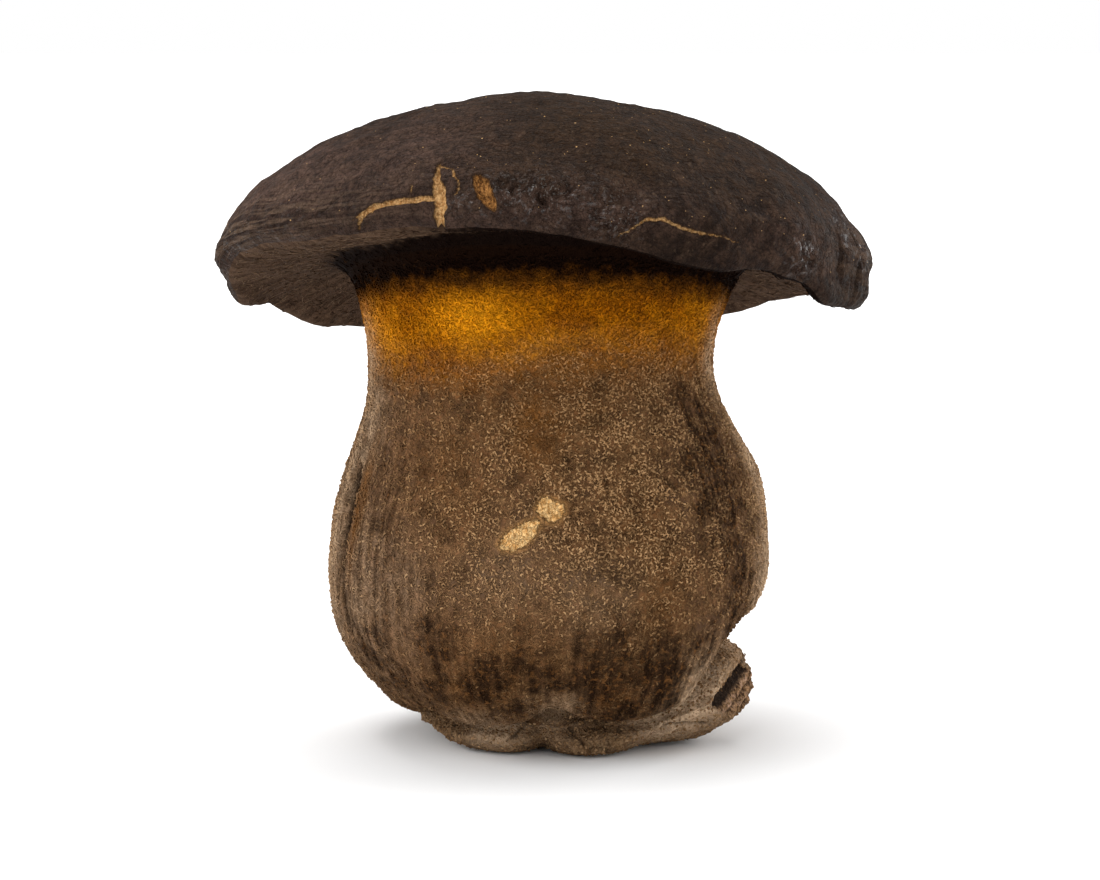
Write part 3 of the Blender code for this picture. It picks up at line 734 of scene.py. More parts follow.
def cap_spot(find, azimuth, height):
    """A spot on the cap's side, at an azimuth and a height in the cap's own frame."""
    azimuth = math.radians(azimuth)
    start = from_cap(OUTSIDE * math.cos(azimuth), OUTSIDE * math.sin(azimuth), height)
    return find(start, from_cap(0.0, 0.0, height))


def stem_spot(find, azimuth, height):
    """A spot on the stem's side, at an azimuth and a height over the sole."""
    azimuth = math.radians(azimuth)
    return find((OUTSIDE * math.cos(azimuth), OUTSIDE * math.sin(azimuth), height), (0.0, 0.0, height))


def torn_line(find, spot, spots):
    """Points close together along a torn line, and half the line's width at each."""
    azimuths, heights, halves = (np.array(column) for column in zip(*spots))
    rough = np.array([spot(find, *place) for place in zip(azimuths, heights)])
    lengths = np.concatenate([[0.0], np.cumsum(np.linalg.norm(np.diff(rough, axis=0), axis=1))])
    along = np.arange(0.0, lengths[-1] + TORN_STEP, TORN_STEP).clip(max=lengths[-1])
    places = zip(np.interp(along, lengths, azimuths), np.interp(along, lengths, heights))
    return np.array([spot(find, *place) for place in places]), np.interp(along, lengths, halves)


def beside(places, points, reach):
    """Which places lie in the box round a line's points, widened by the reach."""
    low, high = points.min(axis=0) - reach, points.max(axis=0) + reach
    return np.flatnonzero(np.all((places > low) & (places < high), axis=1))


def off_lines(places, lines):
    """How far each place lies outside the nearest of the torn lines (below 0 inside), and its depth."""
    off = np.full(len(places), TORN_REACH)
    depth = np.zeros(len(places))
    for points, halves, line_depth in lines:
        near = beside(places, points, TORN_REACH + halves.max())
        away = np.linalg.norm(places[near, None] - points[None], axis=2) - halves
        nearest = away.min(axis=1)
        closer = nearest < off[near]
        off[near[closer]] = nearest[closer]
        depth[near[closer]] = line_depth
    return off, depth


def refine(mesh, chosen):
    """Divides the faces that have a corner among the chosen points."""
    build = bmesh.new()
    build.from_mesh(mesh)
    build.verts.ensure_lookup_table()
    faces = {face for index in np.flatnonzero(chosen) for face in build.verts[index].link_faces}
    edges = sorted({edge for face in faces for edge in face.edges}, key=lambda edge: edge.index)
    bmesh.ops.subdivide_edges(build, edges=edges, cuts=1, use_grid_fill=True)
    bmesh.ops.triangulate(build, faces=[face for face in build.faces if len(face.verts) > 4])
    build.to_mesh(mesh)
    build.free()


class SkinPoints:
    """The points of the fine skin, in millimetres, and where on the mushroom each of them lies."""

    def __init__(self, mesh):
        self.places = places_of(mesh)
        self.outward = read_out(mesh.vertex_normals, "vector", 3)
        self.spans = read_values(mesh, "span")
        self.grain = read_out(mesh.attributes["grain"].data, "vector", 3)
        self.height = self.places[:, 2]
        self.azimuth = np.arctan2(self.places[:, 1], self.places[:, 0])
        self.cap_azimuth, self.cap_height = to_cap(self.places)
        past_stem = fade(self.spans, STEM_END, STEM_END + 1.5)
        self.foot = (1 - fade(self.spans, FOOT_END, FOOT_END + 1.0)) * fade(self.height, 0.1, 1.2)
        self.stem = fade(self.spans, FOOT_END, FOOT_END + 1.2) * (1 - past_stem)
        self.cap = fade(self.spans, UNDERSIDE_END - 0.4, UNDERSIDE_END + 0.4)
        self.under = past_stem * (1 - self.cap)

    def noise(self, width, shift=0.0, stretch=None):
        """Noise with bumps of about the width, or longer ones along the grain."""
        return noise_at(self.places if stretch is None else self.grain * stretch, width, shift)

    def noises(self, layers):
        """The sum of layers of noise, each a size and what noise() takes."""
        return sum(size * self.noise(*layer) for size, *layer in layers)

    def crimps(self, centre, width, across, along, slant, shift):
        """Sharp crimps round an azimuth of the margin, which run round it with a slant."""
        arc = np.radians(turn_from(self.azimuth, centre)) * CRIMPED_REACH
        climb = self.grain[:, 2]
        flow = [(climb + slant * arc) / across, (arc - slant * climb) / along, shift + 0 * arc]
        sharp = 2 * np.abs(noise_at(np.stack(flow, axis=-1), 1.0)) - 0.5
        return swell(self.azimuth, centre, width) * sharp


def fold_distance(skin):
    """How many spans over the fold under the bulb each point lies."""
    return skin.spans - FOOT_END - swells(skin.azimuth, FOLD_WAVES) - 0.12 * skin.noise(3.0, 1.0)


def folded_share(skin):
    """1 where the fold runs under the bulb, and 0 over the stub."""
    return 1 - swell(skin.azimuth, *OPEN_FOLD, flatness=4)


def fine_relief(skin, wrinkling):
    """How far the fine skin stands out: felt, streaks, wrinkles, crimps and the foot's grains."""
    felt = skin.stem * skin.noises(FELT_NOISE)

    left_side = swell(skin.azimuth, 211.0, 26.0) * (1 - fade(skin.height, 34.0, 60.0))
    right_side = swell(skin.azimuth, 330.0, 34.0) * (1 - fade(skin.height, 40.0, 60.0))
    streaked = 0.04 + 0.34 * left_side + 0.12 * right_side
    streaks = skin.stem * skin.noises(STREAK_NOISE) * streaked

    grains = skin.foot * skin.noises(GRAIN_NOISE)

    crinkled = 0.3 + swell(skin.azimuth, 190.0, 45.0) + 0.8 * swell(skin.azimuth, 350.0, 26.0)
    edge = bell(skin.spans, *EDGE_SPANS) * crinkled * 0.12 * skin.noise(2.0, 6.0, (1.0, 1.0, 0.4))
    ropes = sum(size * skin.crimps(*shape) for size, *shape in ROPES)
    crimped = 0.5 * bell(skin.spans, *CRIMPED_SPANS) * ropes * skin.cap + edge

    radial = skin.under * skin.noises(PORE_NOISE)
    rings_round = skin.noise(1.5, 0.0, (0.1, 0.1, 1.0))
    crown = fade(skin.spans, 20.5, 23.0)
    broad = 0.45 * (1 - 0.8 * crown) * skin.noise(8.0, 4.0)
    wrinkles = skin.cap * (skin.noises(WRINKLE_NOISE) + broad) + crown * 0.1 * rings_round
    low_front = swell(skin.azimuth, 275.0, 32.0) * bell(skin.cap_height, 0.5, 4.5)
    pitted = blots(skin.cap_azimuth, skin.cap_height, CAP_BLOTS["scab"])
    wrinkles += skin.cap * (0.9 * low_front + 2.2 * pitted) * (0.22 - np.abs(skin.noise(2.1, 6.0)))

    over_fold = fold_distance(skin)
    fold = sum(size * bell(over_fold, middle, half) for middle, half, size in FOLD_SHAPES)
    fold *= folded_share(skin)
    return felt + streaks + grains + fold + wrinkling * (crimped + radial + wrinkles)


def torn_relief(off, depth):
    """How far a torn place lies below the skin around it, with its edges lifted a little."""
    floor = depth * (1 - fade(off, -0.3, 0.05))
    middle, half, height = TORN_LIP
    return height * bell(off, middle, half) * (depth > 0) - floor


def groove_relief(places, lines):
    """How deep the creases are at each place, and how much painted shade they get there."""
    deep, dark = np.zeros(len(places)), np.zeros(len(places))
    for points, halves, depth in lines:
        near = beside(places, points, CREASE_REACH)
        away = np.linalg.norm(places[near, None] - points[None], axis=2) / halves
        across = bell(away.min(axis=1), 0.0, 1.0)
        deep[near] = np.maximum(deep[near], depth * across)
        dark[near] = np.maximum(dark[near], min(1.0, depth / DARKEST_FROM) * across)
    return deep, dark


def stub_end(skin):
    """Where the skin is the stub's torn end, from 0 to 1, its ridges for painted highlights, and how deep it
    is there.
    """
    outward, across = cut_direction()
    past = skin.places @ outward - STUB_CUT_DISTANCE
    on_end = fade(past, -0.5, -0.05) * (skin.spans < FOOT_END)
    aside = skin.places @ across - STUB_TEAR_START[0]
    above = skin.height - STUB_TEAR_START[1]
    over_tear = above * math.cos(STUB_TEAR_SLANT) - aside * math.sin(STUB_TEAR_SLANT)
    over_tear += 0.35 * skin.noise(1.4, 8.0)
    torn = on_end * (1 - fade(over_tear, -0.3, 0.5))
    ridges, gashes = (
        sum(size * bell(over_tear, middle, half) for middle, half, size in shapes)
        for shapes in (STUB_RIDGES, STUB_GASHES)
    )
    rim = bell(past, -0.5, 0.7) * (skin.spans < FOOT_END) * fade(skin.height, 0.8, 2.0)
    return {"torn": torn, "ridge_highlight": torn * ridges, "gash": on_end * gashes, "rim": rim}


def in_fine_regions(skin):
    """Which points lie in the regions whose faces are small for their wrinkles."""
    chosen = np.zeros(len(skin.places), bool)
    for centre, half, first, last in FINE_REGIONS:
        turned = np.abs(turn_from(skin.azimuth, centre)) < half
        chosen |= turned & (skin.spans > first) & (skin.spans < last)
    return chosen


def lines_on(find, spot, lines):
    """The points, half widths and depth of each torn line or crease."""
    return [(*torn_line(find, spot, spots), depth) for spots, depth in lines]


def skin_mesh(settings):
    """The whole fine skin, with the attributes that its finishes and its felt read."""
    mesh = grid_mesh("bolete_skin", *skin_grid())
    find = skin_finder(mesh)
    torn = {
        "crack": lines_on(find, cap_spot, CAP_CRACKS),
        "pit": lines_on(find, cap_spot, CAP_PITS),
        "scar": lines_on(find, stem_spot, STEM_SCARS),
    }
    creases = lines_on(find, cap_spot, CAP_CREASES) + lines_on(find, stem_spot, STEM_CREASES)
    every_line = [line for lines in torn.values() for line in lines] + creases
    for within, by_region in REFINED_WITHIN:
        near, _ = off_lines(places_of(mesh), every_line)
        refine(mesh, (near < within) | (by_region & in_fine_regions(SkinPoints(mesh))))

    skin = SkinPoints(mesh)
    kept = {}
    relief = fine_relief(skin, settings.wrinkling)
    wander = np.stack([skin.noise(0.8, shift) for shift in (1.0, 4.0, 9.0)], axis=1)
    for name, lines in torn.items():
        kept[name], depth = off_lines(skin.places + TORN_WANDER * wander, lines)
        relief += torn_relief(kept[name], depth) + (kept[name] < 0) * 0.12 * skin.noise(0.5, 3.0)
    deep, kept["crease"] = groove_relief(skin.places + CREASE_WANDER * wander, creases)
    # The furrow on the left gets painted shade too.
    kept["crease"] = np.maximum(kept["crease"], fade(furrow_depth(skin.places), 0.3, 1.2))
    kept |= stub_end(skin)
    relief += kept["torn"] * skin.noises(FLOOR_NOISE) - kept["gash"] - deep
    kept |= {name: blots(skin.azimuth, skin.height, shapes) for name, shapes in STEM_BLOTS.items()}
    kept |= {name: blots(skin.cap_azimuth, skin.cap_height, shapes) for name, shapes in CAP_BLOTS.items()}
    kept["gold"] = (skin.height - through(GOLD_EDGE, skin.azimuth)) / GOLD_FADE
    kept["gold"] -= OFF_UNDERSIDE * fade(skin.spans, *UNDERSIDE_STARTS)
    roped = swell(skin.azimuth, 200.0, 34.0) + 0.6 * swell(skin.azimuth, 350.0, 16.0)
    kept["rope"] = bell(skin.spans, *ROPE_SPANS) * roped
    # Painted shade: the lower stem is darker and more streaked.
    kept["low"] = skin.stem * (1 - fade(skin.height, 14.0, 30.0))
    # The black under the cap, partly painted shade; at the front it covers the whole underside.
    behind_front = 1 - swell(skin.azimuth, *SHADED_FRONT, flatness=4)
    kept["shade"] = fade(skin.spans, *SHADE_STARTS) * (1 - fade(skin.spans, *SHADE_ENDS) * behind_front)
    # Painted shade along the fold under the bulb.
    kept["fold"] = 0.7 * bell(fold_distance(skin), 0.0, FOLD_SHADE_WIDTH) * folded_share(skin)
    kept |= felt_masks(skin, kept)
    for name, values in kept.items():
        keep_values(mesh, name, values)

    relief *= fade(skin.height, 0.02, 0.4)
    put_above_floor(mesh, skin.places + relief[:, None] * skin.outward)
    mesh.shade_smooth()
    mesh.update()
    return mesh


def felt_masks(skin, kept):
    """How thickly each kind of curl, grain or speck grows at each place, from 0 to 1."""
    gold = fade(kept["gold"], -0.5, 0.7)
    bare = fade(kept["scar"], 0.1, 0.7) * (1 - kept["crease"])
    stem = fade(skin.spans, 6.3, 7.2) * (1 - fade(skin.spans, 13.2, 13.8)) * bare
    left = swell(skin.azimuth, 213.0, 30.0) * (1 - fade(skin.height, 46.0, 62.0))
    patchy = fade(skin.noise(5.0, 2.0) + 0.5 * skin.noise(2.2, 4.0), -0.35, 0.45)
    front = 0.35 + 0.65 * swell(skin.azimuth, 293.0, 46.0)
    high = fade(skin.height, 17.0, 33.0)
    foot = (1 - fade(skin.spans, 6.0, 6.8)) * fade(skin.height, 0.15, 0.8) * (1 - kept["torn"])
    crown = fade(skin.spans, 18.3, 19.0) * fade(kept["crack"], 0.2, 0.6) * fade(kept["pit"], 0.2, 0.6)
    tan_felt = stem * (1 - 0.9 * gold) * (1 - 0.2 * left) * (0.25 + 0.75 * high)
    pale_felt = stem * (1 - gold) * (1 - 0.6 * left) * (0.08 + 0.92 * high)
    return {
        "matted": stem * (1 - 0.8 * gold),
        "tan_felt": tan_felt * (0.5 + 0.5 * patchy),
        "pale_felt": pale_felt * front * (0.25 + 0.75 * patchy),
        "gilded": gold * bare * (1 - fade(skin.spans, 13.75, 14.2)),
        "velvet": fade(skin.spans, 13.8, 14.6) * (1 - fade(skin.spans, 17.5, 18.0)),
        "grainy": foot,
        "specked": crown * (0.35 + 0.65 * swell(skin.azimuth, 330.0, 50.0)),
    }


def mask_area(mesh, name):
    """The mesh's area, in square metres, each part weighed with its mask."""
    mesh.calc_loop_triangles()
    corners = np.empty(3 * len(mesh.loop_triangles), np.int32)
    mesh.loop_triangles.foreach_get("vertices", corners)
    corners = corners.reshape(-1, 3)
    first, second, third = np.moveaxis(places_of(mesh)[corners] * MM, 1, 0)
    areas = np.linalg.norm(np.cross(second - first, third - first), axis=1) / 2
    return float((areas * read_values(mesh, name)[corners].mean(axis=1)).sum())


class NodeMaker:
    """Adds nodes to a node tree. An input is given as a value or as another node's socket."""

    def __init__(self, tree):
        self.tree = tree

    def feed(self, socket, value):
        """Links a socket into this one, or sets its value."""
        if isinstance(value, bpy.types.NodeSocket):
            self.tree.links.new(value, socket)
        elif socket.type == "RGBA":
            socket.default_value = (*value[:3], 1.0)
        else:
            socket.default_value = value

    def add(self, kind, inputs=(), **settings):
        """A new node with its settings, then its inputs by name or number."""
        node = self.tree.nodes.new(kind)
        for name, value in settings.items():
            setattr(node, name, value)
        for name, value in dict(inputs).items():
            self.feed(node.inputs[name], value)
        return node

    def maths(self, operation, first, second=0.0, clamp=False):
        """A sum, product or other result of two numbers."""
        node = self.add("ShaderNodeMath", {0: first, 1: second}, operation=operation, use_clamp=clamp)
        return node.outputs[0]

    def times(self, first, second):
        """The product of two numbers."""
        return self.maths("MULTIPLY", first, second)

    def plus(self, first, second, clamp=False):
        """The sum of two numbers."""
        return self.maths("ADD", first, second, clamp)

    def larger(self, first, second):
        """The larger of two numbers."""
        return self.maths("MAXIMUM", first, second)

    def less(self, value):
        """1 less the value."""
        return self.maths("SUBTRACT", 1.0, value)

    def centred(self, value):
        """The value less a half."""
        return self.maths("SUBTRACT", value, 0.5)

    def swing(self, value):
        """How far the value is from a half."""
        return self.maths("ABSOLUTE", self.centred(value))

    def shifted(self, place, shift):
        """The place moved by the same distance along all three axes."""
        return self.vector("ADD", place, (shift, shift, shift))

    def shrunk(self, given):
        """The place that a group is given, divided by the size that it is given."""
        return self.vector("SCALE", given["Place"], self.maths("DIVIDE", 1.0, given["Size"]))

    def vector(self, operation, first, second):
        """A sum, product or scaling of vectors."""
        node = self.add("ShaderNodeVectorMath", {0: first}, operation=operation)
        self.feed(node.inputs["Scale" if operation == "SCALE" else 1], second)
        return node.outputs[0]

    def step(self, value, low, high):
        """0 below the low value and 1 above the high one."""
        inputs = {"Value": value, "From Min": low, "From Max": high}
        return self.add("ShaderNodeMapRange", inputs, interpolation_type="SMOOTHSTEP").outputs[0]

    def blend(self, first, second, share):
        """A colour between two."""
        return self.add("ShaderNodeMix", {0: share, 6: first, 7: second}, data_type="RGBA").outputs[2]

    def between(self, first, second, share):
        """A number between two."""
        return self.add("ShaderNodeMix", {0: share, 2: first, 3: second}, data_type="FLOAT").outputs[0]

    def noise(self, place, scale, detail=2.0, output=0):
        """Noise from 0 to 1, or its colour as output 1."""
        inputs = {"Vector": place, "Scale": scale, "Detail": detail}
        return self.add("ShaderNodeTexNoise", inputs).outputs[output]

    def stored(self, name, output="Fac"):
        """What the mesh stores for each of its points."""
        return self.add("ShaderNodeAttribute", attribute_name=name).outputs[output]

    def placed(self, tree, inputs):
        """The outputs of a node group that is placed here with its own values."""
        node = self.tree.nodes.new("ShaderNodeGroup")
        node.node_tree = tree
        for name, value in inputs.items():
            self.feed(node.inputs[name], value)
        return node.outputs


def new_group(name, inputs, outputs):
    """An empty shader node group: its maker, the sockets that come in and those that go out."""
    tree = bpy.data.node_groups.new(name, "ShaderNodeTree")
    for label, default in inputs.items():
        kind = "NodeSocketVector" if default is None else "NodeSocketFloat"
        socket = tree.interface.new_socket(label, in_out="INPUT", socket_type=kind)
        if default is not None:
            socket.default_value = default
    for label in outputs:
        tree.interface.new_socket(label, in_out="OUTPUT", socket_type="NodeSocketFloat")
    maker = NodeMaker(tree)
    return maker, maker.add("NodeGroupInput").outputs, maker.add("NodeGroupOutput").inputs


def felt_group():
    """Short curled fibres: a mask that is 1 on a fibre, and the height of the felt."""
    make, given, leaving = new_group(
        "curled_felt", {"Place": None, "Size": 1.0, "Thickness": 0.09}, ("Fibres", "Height"))
    place = make.shrunk(given)
    bend = make.vector("SUBTRACT", make.noise(place, 0.8, 1.0, output=1), (0.5, 0.5, 0.5))
    bent = make.vector("ADD", place, make.vector("SCALE", bend, 2.2))
    fibres = 0.0
    for shift in (0.0, 17.0, 31.0):
        away = make.swing(make.noise(make.shifted(bent, shift), 1.15, 0.0))
        line = make.maths("SUBTRACT", 1.0, make.maths("DIVIDE", away, given["Thickness"]), clamp=True)
        gaps = make.noise(make.vector("ADD", place, (shift, 5.0, shift)), 1.0, 0.0)
        fibres = make.larger(fibres, make.times(line, make.step(gaps, 0.40, 0.56)))
    make.feed(leaving["Fibres"], fibres)
    make.feed(leaving["Height"], make.plus(fibres, make.noise(place, 1.6, 3.0)))
    return make.tree


def mottle_group():
    """Soft patches, from 0 to 1, about the size apart."""
    make, given, leaving = new_group(
        "mottling", {"Place": None, "Size": 5.0, "Low": 0.4, "High": 0.6}, ("Mask",))
    place = make.shrunk(given)
    make.feed(leaving["Mask"], make.step(make.noise(place, 1.0, 4.0), given["Low"], given["High"]))
    return make.tree


def wrinkle_group():
    """Fine leathery wrinkles: a height with sharp valleys."""
    make, given, leaving = new_group("wrinkles", {"Place": None, "Size": 1.0}, ("Height",))
    place = make.shrunk(given)
    total = 0.0
    for scale, share in ((1.0, 0.6), (2.3, 0.4)):
        total = make.plus(total, make.times(make.swing(make.noise(place, scale, 1.0)), 4.0 * share))
    make.feed(leaving["Height"], total)
    return make.tree


def speck_group():
    """Tiny separate dots: 1 on a dot. The share is how many of the cells hold one."""
    inputs = {"Place": None, "Size": 2.0, "Share": 0.2, "Dot": 0.1}
    make, given, leaving = new_group("specks", inputs, ("Mask",))
    place = make.shrunk(given)
    cells = make.add("ShaderNodeTexVoronoi", {"Vector": place, "Scale": 1.0})
    chance = make.add("ShaderNodeSeparateColor", {0: cells.outputs["Color"]}).outputs[0]
    chosen = make.maths("LESS_THAN", chance, given["Share"])
    near = make.maths("LESS_THAN", cells.outputs["Distance"], given["Dot"])
    make.feed(leaving["Mask"], make.times(chosen, near))
    return make.tree


def flesh_group():
    """Fibrous torn flesh: a mask of pale strands, and the flesh's height."""
    make, given, leaving = new_group("torn_flesh", {"Place": None}, ("Strands", "Height"))
    bend = make.vector("SCALE", make.noise(given["Place"], 1.2, 1.0, output=1), 0.8)
    drawn_out = make.vector("MULTIPLY", given["Place"], (2.6, 2.6, 1.1))
    strands = make.noise(make.vector("ADD", drawn_out, bend), 1.0, 3.0)
    make.feed(leaving["Strands"], make.step(strands, 0.38, 0.62))
    make.feed(leaving["Height"], strands)
    return make.tree


def shared_groups():
    """The node groups that the finishes share, by name."""
    return {
        "felt": felt_group(), "mottle": mottle_group(), "wrinkles": wrinkle_group(),
        "specks": speck_group(), "flesh": flesh_group(),
    }


class Finish:
    """A material in the making: its nodes, the groups and colours it uses, and its own grain."""

    def __init__(self, name, groups, colours, specular):
        self.material = bpy.data.materials.new(name)
        self.material.use_nodes = True
        self.make = NodeMaker(self.material.node_tree)
        self.shader = self.material.node_tree.nodes["Principled BSDF"]
        self.shader.inputs["Specular IOR Level"].default_value = specular
        self.groups = groups
        self.colours = colours
        metres = self.make.add("ShaderNodeTexCoord").outputs["Object"]
        self.place = self.make.vector("SCALE", metres, 1 / MM)
        self.grain = self.make.stored("grain", "Vector")

    def along(self, stretch):
        """The place on the skin, drawn out along its grain."""
        return self.make.vector("MULTIPLY", self.grain, stretch)

    def felt(self, size, thickness):
        """The mask and the height of curled fibres."""
        inputs = {"Place": self.place, "Size": size, "Thickness": thickness}
        return self.make.placed(self.groups["felt"], inputs)

    def mottle(self, size, low=0.36, high=0.64, place=None):
        """Soft patches from 0 to 1."""
        inputs = {"Place": place or self.place, "Size": size, "Low": low, "High": high}
        return self.make.placed(self.groups["mottle"], inputs)[0]

    def wrinkles(self, size, place=None):
        """The height of fine wrinkles."""
        return self.make.placed(self.groups["wrinkles"], {"Place": place or self.place, "Size": size})[0]

    def specks(self, size, share, dot):
        """A mask of tiny dots."""
        inputs = {"Place": self.place, "Size": size, "Share": share, "Dot": dot}
        return self.make.placed(self.groups["specks"], inputs)[0]

    def patchy(self, name, least, mask):
        """What is stored: all of it where the mask is 1, and its least share where that is 0."""
        return self.make.times(self.make.stored(name), self.make.between(least, 1.0, mask))

    def laid(self, colour, over, share, strength=1.0):
        """The colour with a named one over it, where its share says."""
        return self.make.blend(colour, getattr(self.colours, over), self.make.times(share, strength))

    def layered(self, colour, *layers):
        """The colour with named ones over it: each layer is a name, its mask and its strength."""
        for layer in layers:
            colour = self.laid(colour, *layer)
        return colour

    def mixed(self, first, second, share):
        """A blend of two of the named colours."""
        return self.make.blend(getattr(self.colours, first), getattr(self.colours, second), share)

    def creased(self, colour):
        """The colour, darkened with painted shade in creases, in the furrow and in the fold under the bulb.
        """
        deep = self.make.larger(self.make.stored("crease"), self.make.stored("fold"))
        return self.laid(colour, "crease_dark", deep, 0.8)

    def end(self, colour, roughness, height=None, depth=0.0):
        """Feeds the shader, with the height as a bump of the given depth in millimetres."""
        self.make.feed(self.shader.inputs["Base Color"], colour)
        self.make.feed(self.shader.inputs["Roughness"], roughness)
        if height is not None:
            inputs = {"Strength": 1.0, "Distance": depth * MM, "Height": height}
            bump = self.make.add("ShaderNodeBump", inputs)
            self.make.feed(self.shader.inputs["Normal"], bump.outputs[0])
        return self.material

    def torn(self, colour, edge, pale, deep, ragged):
        """The colour with torn flesh where the stored edge, in mm, is below 0, and the flesh's mask."""
        make = self.make
        flesh = make.placed(self.groups["flesh"], {"Place": self.place})
        wander = make.times(make.centred(make.noise(self.place, 2.4, 2.0)), 2 * ragged)
        edge = make.plus(make.stored(edge), wander)
        inside = make.less(make.step(edge, -0.06, 0.04))
        rim = make.less(make.step(make.maths("ABSOLUTE", edge), 0.04, 0.22))
        colour = make.blend(colour, self.mixed(deep, pale, flesh["Strands"]), inside)
        return self.laid(colour, "torn_rim", rim, 0.6), inside

    def golden(self, colour, tone=None):
        """The colour with the neck's gold over it, and above that the black, partly painted shade under the
        cap.
        """
        make = self.make
        wander = make.times(make.centred(self.mottle(1.3, 0.2, 0.8)), 0.5)
        gold = make.step(make.plus(make.stored("gold"), wander), -1.0, 1.0)
        gold = make.times(gold, make.less(make.times(make.stored("pale"), 0.65)))
        tint = make.times(make.centred(self.mottle(3.0, 0.3, 0.7)), 0.35)
        # The gold's brighter places, partly painted light on the neck's left.
        tint = make.plus(make.stored("glow_and_light"), tint, clamp=True)
        gilt = self.mixed("gold_deep", "gold_bright", tint)
        if tone is not None:
            gilt = make.vector("SCALE", gilt, make.between(0.6, 1.25, tone))
        ragged = make.between(0.82, 1.18, self.mottle(1.6, 0.3, 0.7))
        ragged = make.times(make.stored("shade"), ragged)
        colour = make.blend(colour, gilt, gold)
        # Painted shade: brown, then black, going up under the cap.
        colour = self.laid(colour, "gold_shaded", make.times(make.step(ragged, 0.05, 0.55), gold), 0.8)
        return self.laid(colour, "pores_black_and_shade", make.step(ragged, 0.25, 0.82), 0.98)

    def stemmed(self, colour, tone=None):
        """The colour with what varies over the stem: grey side, stains, gold and bruises, and painted shade
        in creases, on the right and on the lower stem.

        Curls have a tone of their own, and take less of the grey and of the dark streaks.
        """
        make = self.make
        greyed, darkened = (0.5, 0.6) if tone is None else (0.15, 0.35)
        small = self.mottle(1.7)
        streaks = self.mottle(1.1, 0.4, 0.6, self.along((1.0, 1.0, 0.1)))
        fibres = self.mottle(0.7, 0.56, 0.68, self.along((1.0, 1.0, 0.14)))
        # Grey sides, with painted shade on the right.
        grey_and_shade = make.stored("grey_and_shade")
        # Streaks darken the grey sides and, as painted shade, the lower stem.
        streaked = make.larger(grey_and_shade, make.times(make.stored("low"), 0.75))
        colour = self.layered(
            colour,
            # Pale places, partly painted light.
            ("stem_pale", self.patchy("pale", 0.5, small), 0.9),
            ("stem_grey", grey_and_shade, greyed),
            ("stem_dark", make.times(streaks, streaked), darkened),
            ("stem_fibre", make.times(fibres, streaked), 0.25),
            ("stem_stain", self.patchy("stain", 0.5, small), 0.85),
            ("stem_dark", self.mottle(4.5, 0.5, 0.7), 0.45),
        )
        colour = self.golden(colour, tone)
        wander = make.times(make.centred(self.mottle(2.6)), 0.5)
        # Bruises, partly painted shade on the stem's right.
        bruise_and_shade = make.step(make.plus(make.stored("bruise_and_shade"), wander), 0.05, 0.75)
        bruise_and_shade = make.times(bruise_and_shade, make.between(0.75, 1.0, streaks))
        spotted = self.mixed("bruise_and_shade_dark", "bruise_spot", self.mottle(0.8, 0.52, 0.66))
        return self.creased(make.blend(colour, spotted, make.times(bruise_and_shade, 0.9)))


def cap_finish(groups, colours):
    """The cap's black-brown skin, with ochre clouds and torn cracks, painted shade and highlights on its
    wrinkles and ropey crimps, a painted sheen on its left and painted glints on its pitted places.
    """
    cap = Finish("black_brown_cap_skin", groups, colours, 0.03)
    make = cap.make
    felt = cap.felt(0.95, 0.07)
    patches = cap.mottle(2.2)
    streaks = cap.mottle(2.0, 0.36, 0.64, cap.along((0.16, 0.16, 1.0)))
    folded = cap.wrinkles(1.3)
    rope = make.stored("rope")
    lines = cap.mottle(0.65, 0.42, 0.58, cap.along((0.1, 0.1, 1.0)))
    edge = make.less(make.step(make.stored("span"), 18.2, 18.9))
    flecks = make.step(make.noise(cap.place, 2.4, 4.0), 0.58, 0.66)
    colour = cap.layered(
        cap.mixed("cap_dark", "cap_brown", patches),
        ("cap_dark", streaks, 0.45),
        ("cap_ochre", cap.patchy("ochre", 0.45, cap.mottle(7.0)), 0.85),
        # A painted sheen on the cap's left and low front, with paler patches.
        ("cap_haze", cap.patchy("haze_and_sheen", 0.5, make.times(patches, streaks)), 0.95),
        # Painted shade in the wrinkles' valleys and painted highlights on their crests.
        ("cap_dark", make.less(make.step(folded, 0.0, 0.35)), 0.7),
        ("cap_fibre", make.step(folded, 0.5, 0.9), 0.35),
        ("cap_fibre", felt["Fibres"], 0.1),
        ("cap_fleck", cap.mottle(0.7, 0.62, 0.74), 0.3),
        # Painted shade between the ropey crimps' lines and painted highlights on them.
        ("cap_dark", make.times(rope, make.less(lines)), 0.65),
        ("cap_fleck", make.times(rope, lines), 0.6),
        ("cap_dark", edge, 0.2),
        # Painted glints on the pitted places.
        ("scab_grey", make.times(make.stored("scab"), flecks), 0.38),
        ("speck_gold", cap.specks(3.4, 0.35, 0.035)),
        # Painted shade in the cap's creases.
        ("crease_dark", make.stored("crease"), 0.7),
    )
    colour, crack = cap.torn(colour, "crack", "crack_pale", "crack_deep", 0.14)
    colour, pit = cap.torn(colour, "pit", "pit_pale", "pit_deep", 0.14)
    inside = make.larger(crack, pit)

    roughness = make.between(make.between(0.55, 0.7, patches), 0.9, inside)
    gloss = make.times(make.stored("sheen"), cap.mottle(0.9, 0.55, 0.68))
    make.feed(cap.shader.inputs["Coat Weight"], make.times(gloss, make.less(inside)))
    cap.shader.inputs["Coat Roughness"].default_value = 0.16
    rings = cap.wrinkles(1.6, cap.along((0.2, 0.2, 1.0)))
    height = make.plus(make.times(felt["Height"], 0.5), folded)
    dents = make.noise(cap.place, 0.45, 3.0)
    for layer, share in ((rings, 0.7), (make.times(rope, lines), 1.2), (dents, 4.0)):
        height = make.plus(height, make.times(layer, share))
    return cap.end(colour, roughness, height, 0.34)


